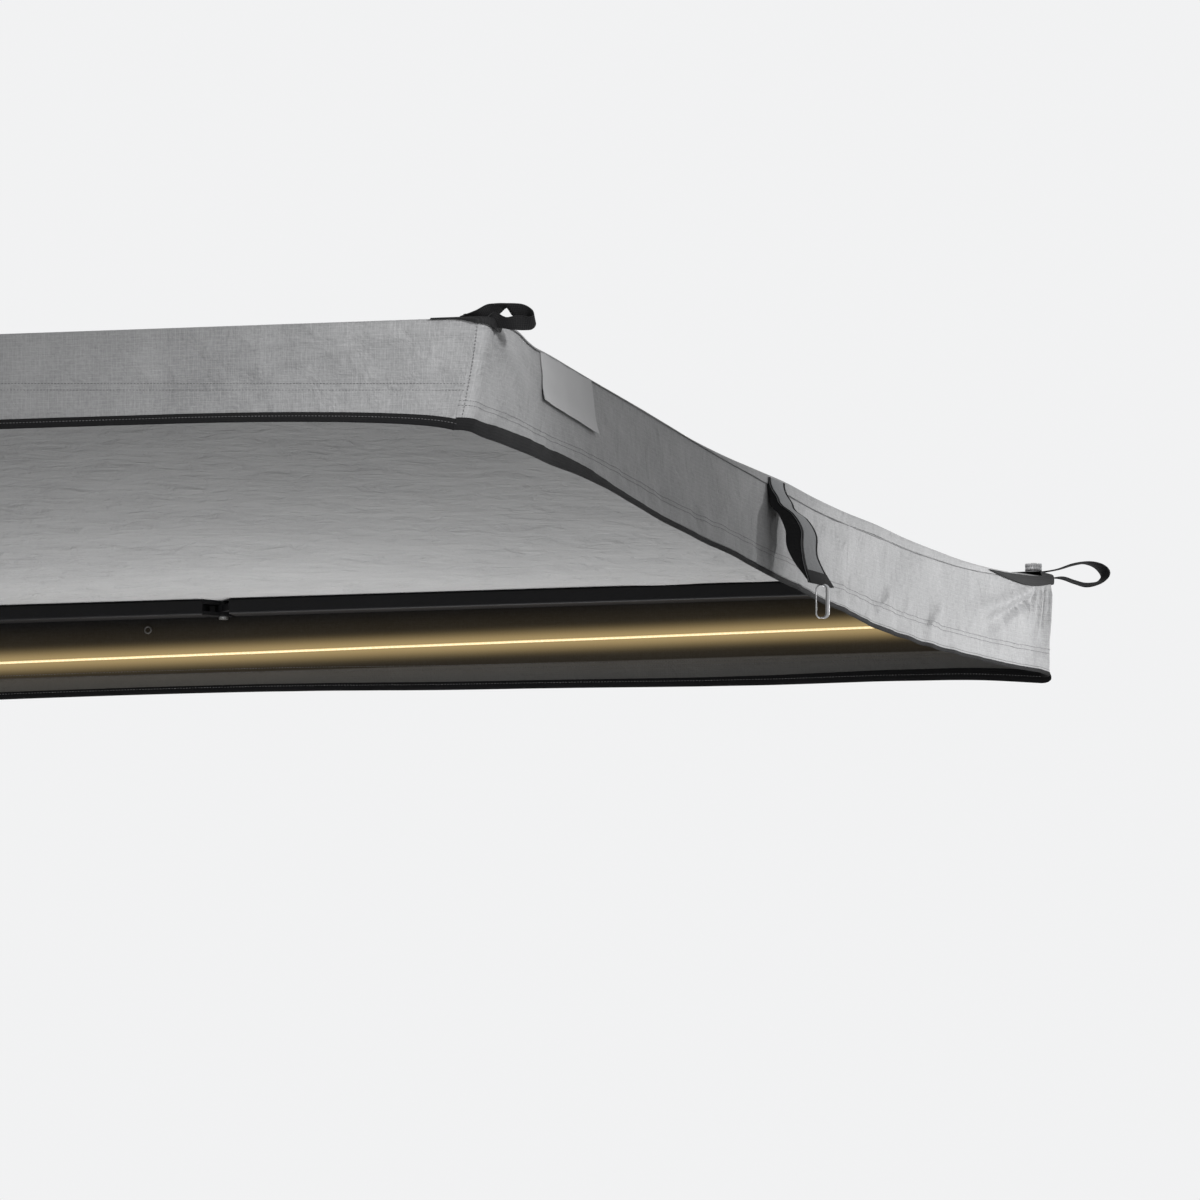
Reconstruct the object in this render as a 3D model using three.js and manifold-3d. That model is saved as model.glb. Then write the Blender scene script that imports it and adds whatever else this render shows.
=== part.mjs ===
// Side awning for a roof rack: an aluminium back plate, two folding arms with
// an elbow each, and a cloth canopy with a hanging valance on three sides.
// Millimetres, +Z up, +X along the vehicle, the awning reaches out towards -Y.
// The origin is the centre of the face that is bolted to the rack.
import * as THREE from 'three';
import { mergeVertices } from 'three/addons/utils/BufferGeometryUtils.js';
import Module from 'manifold-3d';

const wasm = await Module();
wasm.setup();

// Driving dimensions of the whole awning
const awningWidth = 3000;
const projection = 2500;
const valanceDrop = 140;
const canopyHeight = 34;
const clothCornerRadius = 18;

// Shared clearances and allowances
const clearance = 0.3;
const boltClearance = 0.25;
const cutOverrun = 4;

// Cloth
const clothThickness = 1.2;
const frontInset = 30;
const frontSag = 20;
const frontSagSkewShare = 1.2;
const canopySag = 8;
const bindingHeight = 10;
const bindingThickness = 2.4;
const foldDepth = 4;
const foldPitch = 250;
const valanceRearInset = 3;

// Back plate, an extruded profile
const plateThickness = 22;
const plateHeight = 96;
const plateEndInset = 33;
const plateCapThickness = 3;
const beadRadius = 3;
const beadGrooveClearance = 0.4;
const beadGrooveMouth = 3;
const beadTongueThickness = 1.2;
const slotHeight = 9;
const slotDepth = 12;
const slotUndercut = 3.8;
const slotLip = 4;
const slotOffset = 20;
const plateCornerRadius = 3;

// Fasteners that hold the plate to a rack
const rackBoltRadius = 4;
const rackBoltLength = 34;
const rackBoltHeadThickness = 4;
const rackBoltHeadWidth = 15.4;
const rackBoltSpacing = 1400;
const rackNutWidth = 13;
const rackNutHeight = 8;
const rackNutStandoff = 8;

// Folding arms
const armWidth = 40;
const armHeight = 22;
const armWall = 2;
const armCornerRadius = 3;
const armAxisInset = 18;
const armFaceGap = 2;
const armButtGap = 0.6;
const armUnderCloth = 0.4;
const foldRoom = 3;
const plugFit = 0.3;
const plugLength = 60;
const knuckleRadius = 12;
const knuckleLead = 20;
const knuckleOuterShare = 0.9;
const knuckleInnerShare = 0.95;
const tongueHeight = 10;
const lugRunningGap = 0.4;
const lugCoverHeight = 0.4;

// Hinge bolts of shoulders and elbows
const hingeBoltRadius = 4;
const hingeHeadRadius = 7;
const hingeHeadHeight = 3.5;

// Shoulder brackets
const bracketBaseThickness = 7;
const bracketBaseWidth = 92;
const bracketDrop = 46;
const bracketBoltRadius = 3;
const bracketBoltHeadRadius = 5.4;
const bracketBoltHeadHeight = 3.2;
const bracketBoltSpacing = 42;
const bracketBoltEdge = 9;

// Arm tips, their studs and the thumb nuts
const tipInset = 17;
const tipPadRadius = 10;
const tipShoulderShare = 2;
const tipFlangeThickness = 1.5;
const studRadius = 4;
const studHeadRadius = 6.5;
const studHeadHeight = 3;
const studTail = 1.3;
const studHoleClearance = 0.8;
const nutTopRadius = 12;
const nutWaistRadius = 6.6;
const nutFootRadius = 8.5;
const nutHeight = 13;
const nutRimHeight = 4;
const nutFootHeight = 2;
const lowNutRadius = 7;
const lowNutHeight = 3;
const nutSides = 16;

// Corner patches and guy loops, sewn webbing
const patchLength = 62;
const patchThickness = 1.2;
const webbingWidth = 20;
const webbingThickness = 1.6;
const loopLength = 84;
const loopHalfHeight = 17;
const loopTabRear = 12;
const loopRootGap = 2.5;
const loopStitchLength = 8;
const loopStitchHeight = 5;

// Label, centre tab and its ring
const labelInset = 350;
const labelWidth = 285;
const labelHeight = 70;
const labelThickness = 1;
const tabStart = 45;
const tabWidth = 78;
const tabTopDrop = 10;
const tabHeight = 136;
const tabThickness = 1.6;
const tabStandOff = 57;
const ringHeight = 45;
const ringWidth = 22;
const ringWire = 4;

// Lamp strip, its inlet box and the eyelet
const ledWidth = 4;
const ledHeight = 8;
const ledDropFront = 62;
const ledDropRear = 84;
const ledFrontInset = 24;
const inletLength = 56;
const inletHeight = 20;
const inletPortRadius = 4.5;
const inletPortDepth = 14;
const eyeletRadius = 6;
const eyeletHoleRadius = 3.4;
const eyeletThickness = 1;
const eyeletDrop = 37;
const eyeletFromRack = 1160;

// Rolled cover and its straps
const coverRadius = 25;
const coverEndGap = 22;
const coverEndRadius = 8;
const coverBelowArms = 8;
const strapWidth = 25;
const strapThickness = 1.6;
const strapSpacing = 1800;
const strapCount = 2;

// Sides of round shapes and steps of curves
const roundSides = 16;
const smallRoundSides = 12;
const hexSides = 6;
const cornerSteps = 4;
const frontSteps = 20;
const sideSteps = 14;
const dropSteps = 3;
const tabSteps = 9;
const canopyDepthSteps = 7;
const loopSteps = 20;
const cornerArcSteps = 3;

// Places worked out from the sizes above
const halfWidth = awningWidth / 2;
const flatHalf = halfWidth - clothCornerRadius;
const labelStart = labelInset - halfWidth;
const labelEnd = labelStart + labelWidth;
const plateHalf = halfWidth - plateEndInset;
const extrusionHalf = plateHalf - plateCapThickness - clearance;
const plateFront = -plateThickness;
const clothUnderside = canopyHeight - clothThickness;
const armTop = clothUnderside - armUnderCloth;
const armBottom = armTop - armHeight;
const armMiddle = (armTop + armBottom) / 2;
const axisX = -(halfWidth - armAxisInset);
const armInnerX = axisX + armFaceGap + armWidth;
const sagHalf = -armInnerX;
const bracketFront = plateFront - clearance - bracketBaseThickness;
const shoulderY = bracketFront - foldRoom - armFaceGap - armWidth;
const tipY = -(projection - tipInset);
const linkLength = (shoulderY - tipY) / 2;
const elbowY = shoulderY - linkLength;
const clothRear = plateFront - clearance;
const valanceBottom = canopyHeight - valanceDrop;
const bindingTop = valanceBottom + bindingHeight;
const beadHeight = canopyHeight - clothThickness / 2;
const beadY = plateFront + beadGrooveMouth + beadRadius;

const group = new THREE.Group();

// Materials, plain colours that name each finish
function finish(color, roughness, metalness) {
  return new THREE.MeshStandardMaterial({ color, roughness, metalness });
}

const anodised = finish(0x1b1c1e, 0.45, 0.6);
const blackPowder = finish(0x202224, 0.6, 0.1);
const steel = finish(0xb9bcc0, 0.3, 1);
const chrome = finish(0xd8dadd, 0.12, 1);
const blackPlastic = finish(0x17181a, 0.55, 0);
const canopyCloth = finish(0x8f9194, 0.8, 0);
const valanceCloth = finish(0x7d7f82, 0.75, 0);
const innerCloth = finish(0x2c2c2c, 0.85, 0);
const blackWebbing = finish(0x141414, 0.8, 0);
const labelCloth = finish(0x6a6c6f, 0.7, 0);
const lampDiffuser = finish(0xffdf9c, 0.4, 0);
const coverCloth = finish(0x242527, 0.75, 0);

// Solids

function volumeOf(geometry) {
  const position = geometry.attributes.position;
  const index = geometry.index;
  const a = new THREE.Vector3();
  const b = new THREE.Vector3();
  const c = new THREE.Vector3();
  let volume = 0;
  for (let i = 0; i < index.count; i += 3) {
    a.fromBufferAttribute(position, index.getX(i));
    b.fromBufferAttribute(position, index.getX(i + 1));
    c.fromBufferAttribute(position, index.getX(i + 2));
    volume += a.dot(b.cross(c));
  }
  return volume;
}

function merged(geometry) {
  const bare = geometry.clone();
  bare.deleteAttribute('normal');
  bare.deleteAttribute('uv');
  return mergeVertices(bare);
}

function facedOut(geometry) {
  const shape = merged(geometry);
  if (volumeOf(shape) < 0) {
    const order = shape.index.array;
    for (let i = 0; i < order.length; i += 3) {
      [order[i], order[i + 1]] = [order[i + 1], order[i]];
    }
  }
  return shape;
}

function solid(geometry) {
  const shape = facedOut(geometry);
  return new wasm.Manifold(new wasm.Mesh({
    numProp: 3,
    vertProperties: new Float32Array(shape.attributes.position.array),
    triVerts: new Uint32Array(shape.index.array),
  }));
}

function geometryOf(body) {
  const mesh = body.getMesh();
  const geometry = new THREE.BufferGeometry();
  geometry.setAttribute('position', new THREE.BufferAttribute(mesh.vertProperties, 3));
  geometry.setIndex(new THREE.BufferAttribute(mesh.triVerts, 1));
  return geometry;
}

function join(...geometries) {
  return geometryOf(geometries.map(solid).reduce((all, next) => all.add(next)));
}

function cut(geometry, ...tools) {
  return geometryOf(tools.map(solid).reduce((rest, tool) => rest.subtract(tool), solid(geometry)));
}

// side is -1 for the near end of the awning and 1 for the far end
function onSide(geometry, side) {
  return side < 0 ? geometry : geometry.clone().scale(-1, 1, 1);
}

function add(name, geometry, material) {
  const shape = facedOut(geometry);
  shape.computeVertexNormals();
  const mesh = new THREE.Mesh(shape, material);
  mesh.name = name;
  group.add(mesh);
}

function addPair(name, geometry, material) {
  add(`${name}_near`, onSide(geometry, -1), material);
  add(`${name}_far`, onSide(geometry, 1), material);
}

function block(xLow, xHigh, yLow, yHigh, zLow, zHigh) {
  const box = new THREE.BoxGeometry(xHigh - xLow, yHigh - yLow, zHigh - zLow);
  return box.translate((xLow + xHigh) / 2, (yLow + yHigh) / 2, (zLow + zHigh) / 2);
}

function upright(radius, zLow, zHigh, x, y, sides = roundSides) {
  const rod = new THREE.CylinderGeometry(radius, radius, zHigh - zLow, sides);
  return rod.rotateX(Math.PI / 2).translate(x, y, (zLow + zHigh) / 2);
}

function lying(radius, yLow, yHigh, x, z, sides = smallRoundSides) {
  const rod = new THREE.CylinderGeometry(radius, radius, yHigh - yLow, sides);
  return rod.translate(x, (yLow + yHigh) / 2, z);
}

function slab(points, zLow, zHigh) {
  const shape = new THREE.Shape(points.map(([x, y]) => new THREE.Vector2(x, y)));
  const plate = new THREE.ExtrudeGeometry(shape, { depth: zHigh - zLow, bevelEnabled: false });
  return plate.translate(0, 0, zLow);
}

// A shape drawn with its first axis along Y and its second along Z, drawn out along X
function alongX(shape, xLow, xHigh, curveSegments = cornerArcSteps) {
  const bar = new THREE.ExtrudeGeometry(shape, {
    depth: xHigh - xLow,
    bevelEnabled: false,
    curveSegments,
  });
  const turn = new THREE.Matrix4().makeBasis(
    new THREE.Vector3(0, 1, 0),
    new THREE.Vector3(0, 0, 1),
    new THREE.Vector3(1, 0, 0),
  );
  return bar.applyMatrix4(turn).translate(xLow, 0, 0);
}

// A shape drawn with its first axis along X and its second along Z, drawn out along Y
function alongY(shape, yLow, yHigh) {
  const bar = new THREE.ExtrudeGeometry(shape, {
    depth: yHigh - yLow,
    bevelEnabled: false,
    curveSegments: cornerArcSteps,
  });
  const turn = new THREE.Matrix4().makeBasis(
    new THREE.Vector3(1, 0, 0),
    new THREE.Vector3(0, 0, 1),
    new THREE.Vector3(0, -1, 0),
  );
  return bar.applyMatrix4(turn).translate(0, yHigh, 0);
}

function roundedBox(shape, low, high, bottom, top, radius) {
  shape.moveTo(low + radius, bottom);
  shape.lineTo(high - radius, bottom);
  shape.absarc(high - radius, bottom + radius, radius, -Math.PI / 2, 0);
  shape.lineTo(high, top - radius);
  shape.absarc(high - radius, top - radius, radius, 0, Math.PI / 2);
  shape.lineTo(low + radius, top);
  shape.absarc(low + radius, top - radius, radius, Math.PI / 2, Math.PI);
  shape.lineTo(low, bottom + radius);
  shape.absarc(low + radius, bottom + radius, radius, Math.PI, Math.PI * 1.5);
  return shape;
}

// A sheet of cloth: at(s, t) gives the middle of the sheet and the way its face looks
function sheet(sValues, tValues, thickness, at) {
  const positions = [];
  const order = [];
  const across = tValues.length;
  const layer = sValues.length * across;
  for (const half of [0.5, -0.5]) {
    for (const s of sValues) {
      for (const t of tValues) {
        const { middle, face } = at(s, t);
        const point = middle.clone().addScaledVector(face, half * thickness);
        positions.push(point.x, point.y, point.z);
      }
    }
  }
  const quad = (a, b, c, d) => order.push(a, b, c, a, c, d);
  for (let i = 0; i + 1 < sValues.length; i += 1) {
    for (let j = 0; j + 1 < across; j += 1) {
      const k = i * across + j;
      quad(k, k + across, k + across + 1, k + 1);
      quad(layer + k, layer + k + 1, layer + k + across + 1, layer + k + across);
    }
  }
  for (let i = 0; i + 1 < sValues.length; i += 1) {
    const low = i * across;
    const high = low + across - 1;
    quad(low, layer + low, layer + low + across, low + across);
    quad(high, high + across, layer + high + across, layer + high);
  }
  for (let j = 0; j + 1 < across; j += 1) {
    const last = (sValues.length - 1) * across + j;
    quad(j, j + 1, layer + j + 1, layer + j);
    quad(last, layer + last, layer + last + 1, last + 1);
  }
  const geometry = new THREE.BufferGeometry();
  geometry.setAttribute('position', new THREE.Float32BufferAttribute(positions, 3));
  geometry.setIndex(order);
  return geometry;
}

function steps(low, high, count) {
  return Array.from({ length: count + 1 }, (_, i) => low + ((high - low) * i) / count);
}

// The front edge of the cloth, seen from above, drawn in between the two corners

function frontY(x) {
  const beyond = Math.abs(x) - flatHalf;
  if (beyond > 0) {
    const reach = Math.sqrt(Math.max(clothCornerRadius ** 2 - beyond ** 2, 0));
    return clothCornerRadius - projection - reach;
  }
  return frontInset * (1 - (x / flatHalf) ** 2) - projection;
}

function frontFace(x) {
  const beyond = Math.abs(x) - flatHalf;
  if (beyond > 0) {
    const turn = Math.asin(Math.min(beyond / clothCornerRadius, 1));
    return new THREE.Vector3(Math.sign(x) * Math.sin(turn), -Math.cos(turn), 0);
  }
  const slope = (-2 * frontInset * x) / flatHalf ** 2;
  return new THREE.Vector3(slope, -1, 0).normalize();
}

function frontDrop(x) {
  const share = THREE.MathUtils.clamp(x / sagHalf, -1, 1);
  return frontSag * (1 - share ** 2) * (1 + frontSagSkewShare * share);
}

function canopyDrop(x, y) {
  const out = THREE.MathUtils.clamp((clothRear - y) / (clothRear - frontY(x)), 0, 1);
  const share = THREE.MathUtils.clamp(x / sagHalf, -1, 1);
  const middle = canopySag * (1 - share ** 2) * Math.sin(Math.PI * out);
  return middle + frontDrop(x) * out ** 2;
}

function frontColumns() {
  const turns = steps(0, Math.PI / 2, cornerSteps).slice(1);
  const corner = turns.map((turn) => flatHalf + clothCornerRadius * Math.sin(turn));
  const left = corner.map((x) => -x).reverse();
  const sewn = [labelStart, labelEnd, tabStart, tabStart + tabWidth];
  const middle = [...steps(-sagHalf, sagHalf, frontSteps), ...sewn].sort((a, b) => a - b);
  return [...left, -flatHalf, ...middle, flatHalf, ...corner];
}

function columnsBetween(low, high) {
  return frontColumns().filter((x) => x >= low && x <= high);
}

// How far the hanging cloth stands out in folds, growing towards its lower edge
function frontFold(x, z) {
  const down = THREE.MathUtils.clamp((canopyHeight - z) / valanceDrop, 0, 1);
  const ends = 1 - Math.min(Math.abs(x) / flatHalf, 1) ** 4;
  return foldDepth * down * ends * (1 - Math.cos((2 * Math.PI * x) / foldPitch)) / 2;
}

function sideFold(y, z) {
  const down = THREE.MathUtils.clamp((canopyHeight - z) / valanceDrop, 0, 1);
  const along = THREE.MathUtils.clamp(-y / projection, 0, 1);
  const ends = 4 * along * (1 - along);
  return foldDepth * down * ends * (1 - Math.cos((2 * Math.PI * y) / (foldPitch * 2))) / 2;
}

function valanceRows(high, low) {
  return steps(high, low, dropSteps);
}

// Cloth that hangs from the front edge, from a height down to a lower height
function hungFront(high, low, thickness, xValues = frontColumns(), off = 0) {
  return sheet(xValues, valanceRows(high, low), thickness, (x, z) => {
    const face = frontFace(x);
    const middle = new THREE.Vector3(x, frontY(x), z - frontDrop(x));
    middle.addScaledVector(face, off - clothThickness / 2 + frontFold(x, z));
    return { middle, face };
  });
}

// Cloth that hangs from the near side edge
function hungSide(high, low, thickness) {
  const face = new THREE.Vector3(-1, 0, 0);
  const front = clothCornerRadius - projection + clearance;
  const yValues = steps(-valanceRearInset, front, sideSteps);
  return sheet(yValues, valanceRows(high, low), thickness, (y, z) => {
    const x = clothThickness / 2 - halfWidth - sideFold(y, z);
    return { middle: new THREE.Vector3(x, y, z), face };
  });
}

function backPlate() {
  const low = -plateHeight / 2;
  const high = plateHeight / 2;
  const profile = new THREE.Shape();
  roundedBox(profile, plateFront, 0, low, high, plateCornerRadius);
  let bar = alongX(profile, -extrusionHalf, extrusionHalf);
  const cuts = [];
  for (const z of [-slotOffset, slotOffset]) {
    const far = extrusionHalf + cutOverrun;
    cuts.push(block(-far, far, -slotLip - cutOverrun, cutOverrun, z - slotHeight / 2, z + slotHeight / 2));
    const half = slotHeight / 2 + slotUndercut;
    cuts.push(block(-far, far, -slotDepth, -slotLip, z - half, z + half));
  }
  bar = cut(bar, ...cuts);
  const grooveRadius = beadRadius + beadGrooveClearance;
  const groove = new THREE.CylinderGeometry(
    grooveRadius,
    grooveRadius,
    2 * (extrusionHalf + cutOverrun),
    smallRoundSides,
  );
  groove.rotateZ(Math.PI / 2).translate(0, beadY, beadHeight);
  const far = extrusionHalf + cutOverrun;
  const halfMouth = beadTongueThickness / 2 + beadGrooveClearance;
  const mouthLow = beadHeight - halfMouth;
  const mouthHigh = beadHeight + halfMouth;
  const mouth = block(-far, far, plateFront - cutOverrun, beadY, mouthLow, mouthHigh);
  return cut(bar, groove, mouth);
}

// The sewn-in cord of the canopy's rear edge, with the tongue that joins it to the cloth
function canopyBead() {
  const half = extrusionHalf - plateCapThickness;
  const cord = new THREE.CylinderGeometry(beadRadius, beadRadius, 2 * half, smallRoundSides);
  cord.rotateZ(Math.PI / 2).translate(0, beadY, beadHeight);
  const halfTongue = beadTongueThickness / 2;
  const tongue = block(-half, half, plateFront, beadY, beadHeight - halfTongue, beadHeight + halfTongue);
  return join(cord, tongue);
}

function plateCap() {
  const profile = new THREE.Shape();
  roundedBox(profile, plateFront, 0, -plateHeight / 2, plateHeight / 2, plateCornerRadius);
  return alongX(profile, -plateHalf, plateCapThickness - plateHalf);
}

// A bolt whose square head slides in a rear slot of the plate
function rackBolt(x, z) {
  const headFront = -slotDepth + clearance;
  const headRear = headFront + rackBoltHeadThickness;
  const half = rackBoltHeadWidth / 2;
  const head = block(x - half, x + half, headFront, headRear, z - half, z + half);
  return join(head, lying(rackBoltRadius, headFront, headRear + rackBoltLength, x, z));
}

function rackNut(x, z) {
  const radius = rackNutWidth / Math.sqrt(3);
  const low = rackNutStandoff;
  const high = rackNutStandoff + rackNutHeight;
  const bore = lying(rackBoltRadius + boltClearance, low - cutOverrun, high + cutOverrun, x, z);
  return cut(lying(radius, low, high, x, z, hexSides), bore);
}

// Height bands of a hinge: an upper lug, a tongue between and a lower lug
const tongueLow = armMiddle - tongueHeight / 2;
const tongueHigh = armMiddle + tongueHeight / 2;
const upperLugLow = tongueHigh + lugRunningGap;
const upperLugHigh = armTop - lugCoverHeight;
const lowerLugHigh = tongueLow - lugRunningGap;
const lowerLugLow = armBottom + lugCoverHeight;

// The outline that leads from a hinge axis at (axisX, y) into the arm, towards direction
function leadOutline(y, direction) {
  const end = y + direction * knuckleLead;
  return [
    [axisX - knuckleRadius * knuckleOuterShare, y],
    [axisX + knuckleRadius * knuckleInnerShare, y],
    [armInnerX - armWall - armWall, end],
    [axisX + armFaceGap + armWall + plugFit, end],
  ];
}

function plugBlock(y, direction) {
  const near = y + direction * knuckleLead;
  const far = near + direction * plugLength;
  const inset = armWall + plugFit;
  return block(
    axisX + armFaceGap + inset,
    armInnerX - inset,
    Math.min(near, far),
    Math.max(near, far),
    armBottom + inset,
    armTop - inset,
  );
}

function hingeBore(y) {
  const radius = hingeBoltRadius + boltClearance;
  return upright(radius, armBottom - cutOverrun, armTop + cutOverrun, axisX, y);
}

// A fitting with one tongue, pushed into an arm
function tongueFitting(y, direction) {
  const disc = upright(knuckleRadius, tongueLow, tongueHigh, axisX, y);
  const lead = slab(leadOutline(y, direction), tongueLow, tongueHigh);
  return cut(join(disc, lead, plugBlock(y, direction)), hingeBore(y));
}

// A fitting with two lugs, pushed into an arm
function forkFitting(y, direction) {
  const bands = [[lowerLugLow, lowerLugHigh], [upperLugLow, upperLugHigh]];
  const pieces = [plugBlock(y, direction)];
  for (const [low, high] of bands) {
    pieces.push(upright(knuckleRadius, low, high, axisX, y));
    pieces.push(slab(leadOutline(y, direction), low, high));
  }
  return cut(join(...pieces), hingeBore(y));
}

// A bolt with a low head under the lower lug and its tail flush in the upper lug
function hingeBolt(y) {
  const headTop = lowerLugLow - clearance;
  const head = upright(hingeHeadRadius, headTop - hingeHeadHeight, headTop, axisX, y);
  const shank = upright(hingeBoltRadius, headTop - hingeHeadHeight, upperLugHigh, axisX, y);
  return join(head, shank);
}

function armTube(yLow, yHigh) {
  const profile = new THREE.Shape();
  roundedBox(profile, axisX + armFaceGap, armInnerX, armBottom, armTop, armCornerRadius);
  const hole = new THREE.Path();
  const inner = armCornerRadius - armWall;
  roundedBox(
    hole,
    axisX + armFaceGap + armWall,
    armInnerX - armWall,
    armBottom + armWall,
    armTop - armWall,
    inner,
  );
  profile.holes.push(hole);
  return alongY(profile, yLow, yHigh);
}

function shoulderBracket() {
  const low = axisX - knuckleRadius;
  const base = block(
    low,
    low + bracketBaseWidth,
    bracketFront,
    plateFront - clearance,
    upperLugHigh - bracketDrop,
    upperLugHigh,
  );
  const pieces = [base];
  for (const [zLow, zHigh] of [[lowerLugLow, lowerLugHigh], [upperLugLow, upperLugHigh]]) {
    pieces.push(block(low, axisX + knuckleRadius, shoulderY, bracketFront + clearance, zLow, zHigh));
    pieces.push(upright(knuckleRadius, zLow, zHigh, axisX, shoulderY));
  }
  const radius = bracketBoltRadius + boltClearance;
  const rear = plateFront + cutOverrun;
  const holes = bracketBoltPlaces().map(([x, z]) => lying(radius, bracketFront - cutOverrun, rear, x, z));
  return cut(join(...pieces), hingeBore(shoulderY), ...holes);
}

function bracketBoltPlaces() {
  const first = -plateHalf + plateCapThickness + bracketBoltEdge;
  const z = upperLugHigh - bracketDrop + bracketBoltEdge;
  return [[first, z], [first + bracketBoltSpacing, z]];
}

function bracketBolt(place) {
  const [x, z] = place;
  const front = bracketFront - clearance;
  const head = lying(bracketBoltHeadRadius, front - bracketBoltHeadHeight, front, x, z);
  const shank = lying(bracketBoltRadius, front - bracketBoltHeadHeight, plateFront - clearance, x, z);
  return join(head, shank);
}

function tipFitting() {
  const plugStart = tipY + tipPadRadius + tipFlangeThickness;
  const inset = armWall + plugFit;
  const pad = upright(tipPadRadius, tongueLow, armTop - lugCoverHeight, axisX, tipY);
  const tongue = slab(
    [
      [axisX, tipY - tipPadRadius],
      [axisX + tipPadRadius * tipShoulderShare, tipY - tipPadRadius / 2],
      [armInnerX - armWall, plugStart - tipFlangeThickness / 2],
      [axisX + armFaceGap, plugStart - tipFlangeThickness / 2],
      [axisX - tipPadRadius / 2, tipY],
    ],
    tongueLow,
    armTop - lugCoverHeight,
  );
  const flange = block(
    axisX + armFaceGap,
    armInnerX,
    plugStart - tipFlangeThickness,
    plugStart,
    armBottom,
    armTop,
  );
  const plug = block(
    axisX + armFaceGap + inset,
    armInnerX - inset,
    plugStart - clearance,
    plugStart + plugLength,
    armBottom + inset,
    armTop - inset,
  );
  const bore = upright(studRadius + boltClearance, armBottom - cutOverrun, armTop + cutOverrun, axisX, tipY);
  return cut(join(pad, tongue, flange, plug), bore);
}

function tipStud(top) {
  const headTop = tongueLow - clearance;
  const head = upright(studHeadRadius, headTop - studHeadHeight, headTop, axisX, tipY);
  const shank = upright(studRadius, headTop - studHeadHeight, top, axisX, tipY);
  return join(head, shank);
}

// The stack of cloth, patch and webbing that the thumb nut clamps
const patchBottom = canopyHeight + clearance;
const patchTop = patchBottom + patchThickness;
const webbingMiddle = patchTop + clearance + webbingThickness / 2;
const nutBottom = webbingMiddle + webbingThickness / 2 + clearance;

function thumbNut() {
  const bore = studRadius + boltClearance;
  const top = nutBottom + nutHeight;
  const outline = [
    [bore, nutBottom],
    [nutFootRadius, nutBottom],
    [nutFootRadius, nutBottom + nutFootHeight],
    [nutWaistRadius, nutBottom + nutFootHeight * 2],
    [nutTopRadius, top - nutRimHeight],
    [nutTopRadius, top],
    [bore, top],
    [bore, nutBottom],
  ];
  const points = outline.map(([x, y]) => new THREE.Vector2(x, y));
  const lathe = new THREE.LatheGeometry(points, nutSides);
  return lathe.rotateX(Math.PI / 2).translate(axisX, tipY, 0);
}

// The nut of the near corner is low, so that the webbing loop can fold back over it
function lowNut() {
  const high = nutBottom + lowNutHeight;
  const bore = upright(studRadius + boltClearance, nutBottom - cutOverrun, high + cutOverrun, axisX, tipY);
  return cut(upright(lowNutRadius, nutBottom, high, axisX, tipY), bore);
}

function cornerPatch() {
  const front = steps(0, Math.PI / 2, cornerSteps).map((turn) => [
    -flatHalf - clothCornerRadius * Math.cos(turn),
    clothCornerRadius - projection - clothCornerRadius * Math.sin(turn),
  ]);
  const inner = -halfWidth + patchLength;
  const rear = -projection + patchLength;
  const outline = [[-halfWidth, rear], ...front, [inner, frontY(inner)], [inner, rear]];
  const hole = upright(
    studRadius + studHoleClearance,
    patchBottom - cutOverrun,
    patchTop + cutOverrun,
    axisX,
    tipY,
    smallRoundSides,
  );
  return cut(slab(outline, patchBottom, patchTop), hole);
}

// A teardrop of webbing: shares of its length and of its half height, root to root
const loopOutlineShares = [
  [0, 0.06],
  [0.12, 0.16],
  [0.34, 0.62],
  [0.6, 0.98],
  [0.84, 0.86],
  [0.98, 0.34],
  [0.98, -0.34],
  [0.84, -0.86],
  [0.6, -0.98],
  [0.34, -0.66],
  [0.12, -0.24],
  [0, -0.14],
];

function guyLoop() {
  const rootY = -projection - loopRootGap;
  const points = loopOutlineShares.map(([out, up]) => new THREE.Vector3(
    0,
    rootY - out * loopLength,
    webbingMiddle + up * loopHalfHeight,
  ));
  const path = new THREE.CatmullRomCurve3(points);
  const low = axisX - webbingWidth / 2;
  const strip = sheet(steps(0, 1, loopSteps), [0, 1], webbingThickness, (s, t) => {
    const middle = path.getPoint(s);
    const tangent = path.getTangent(s);
    middle.x = low + t * webbingWidth;
    return { middle, face: new THREE.Vector3(0, -tangent.z, tangent.y).normalize() };
  });
  const half = webbingThickness / 2;
  const tab = block(
    low,
    low + webbingWidth,
    rootY - half,
    tipY + loopTabRear,
    webbingMiddle - half,
    webbingMiddle + half,
  );
  const stitch = block(
    low,
    low + webbingWidth,
    rootY - loopStitchLength,
    rootY,
    webbingMiddle - loopStitchHeight,
    webbingMiddle + half,
  );
  const hole = upright(
    studRadius + studHoleClearance,
    webbingMiddle - cutOverrun,
    webbingMiddle + cutOverrun,
    axisX,
    tipY,
    smallRoundSides,
  );
  return cut(join(strip, stitch, tab), hole);
}

function canopy() {
  const shares = steps(0, 1, canopyDepthSteps);
  const cloth = sheet(frontColumns(), shares, clothThickness, (x, share) => {
    const y = THREE.MathUtils.lerp(clothRear, frontY(x), share);
    const z = canopyHeight - clothThickness / 2 - canopyDrop(x, y);
    return { middle: new THREE.Vector3(x, y, z), face: new THREE.Vector3(0, 0, 1) };
  });
  const holes = [-1, 1].map((side) => upright(
    studRadius + studHoleClearance,
    clothUnderside - cutOverrun,
    canopyHeight + cutOverrun,
    -side * axisX,
    tipY,
    smallRoundSides,
  ));
  return cut(cloth, ...holes);
}

function labelPatch() {
  const high = canopyHeight - clothThickness - clearance;
  const off = clothThickness / 2 + labelThickness / 2 + clearance;
  const columns = columnsBetween(labelStart, labelEnd);
  return hungFront(high, high - labelHeight, labelThickness, columns, off);
}

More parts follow.
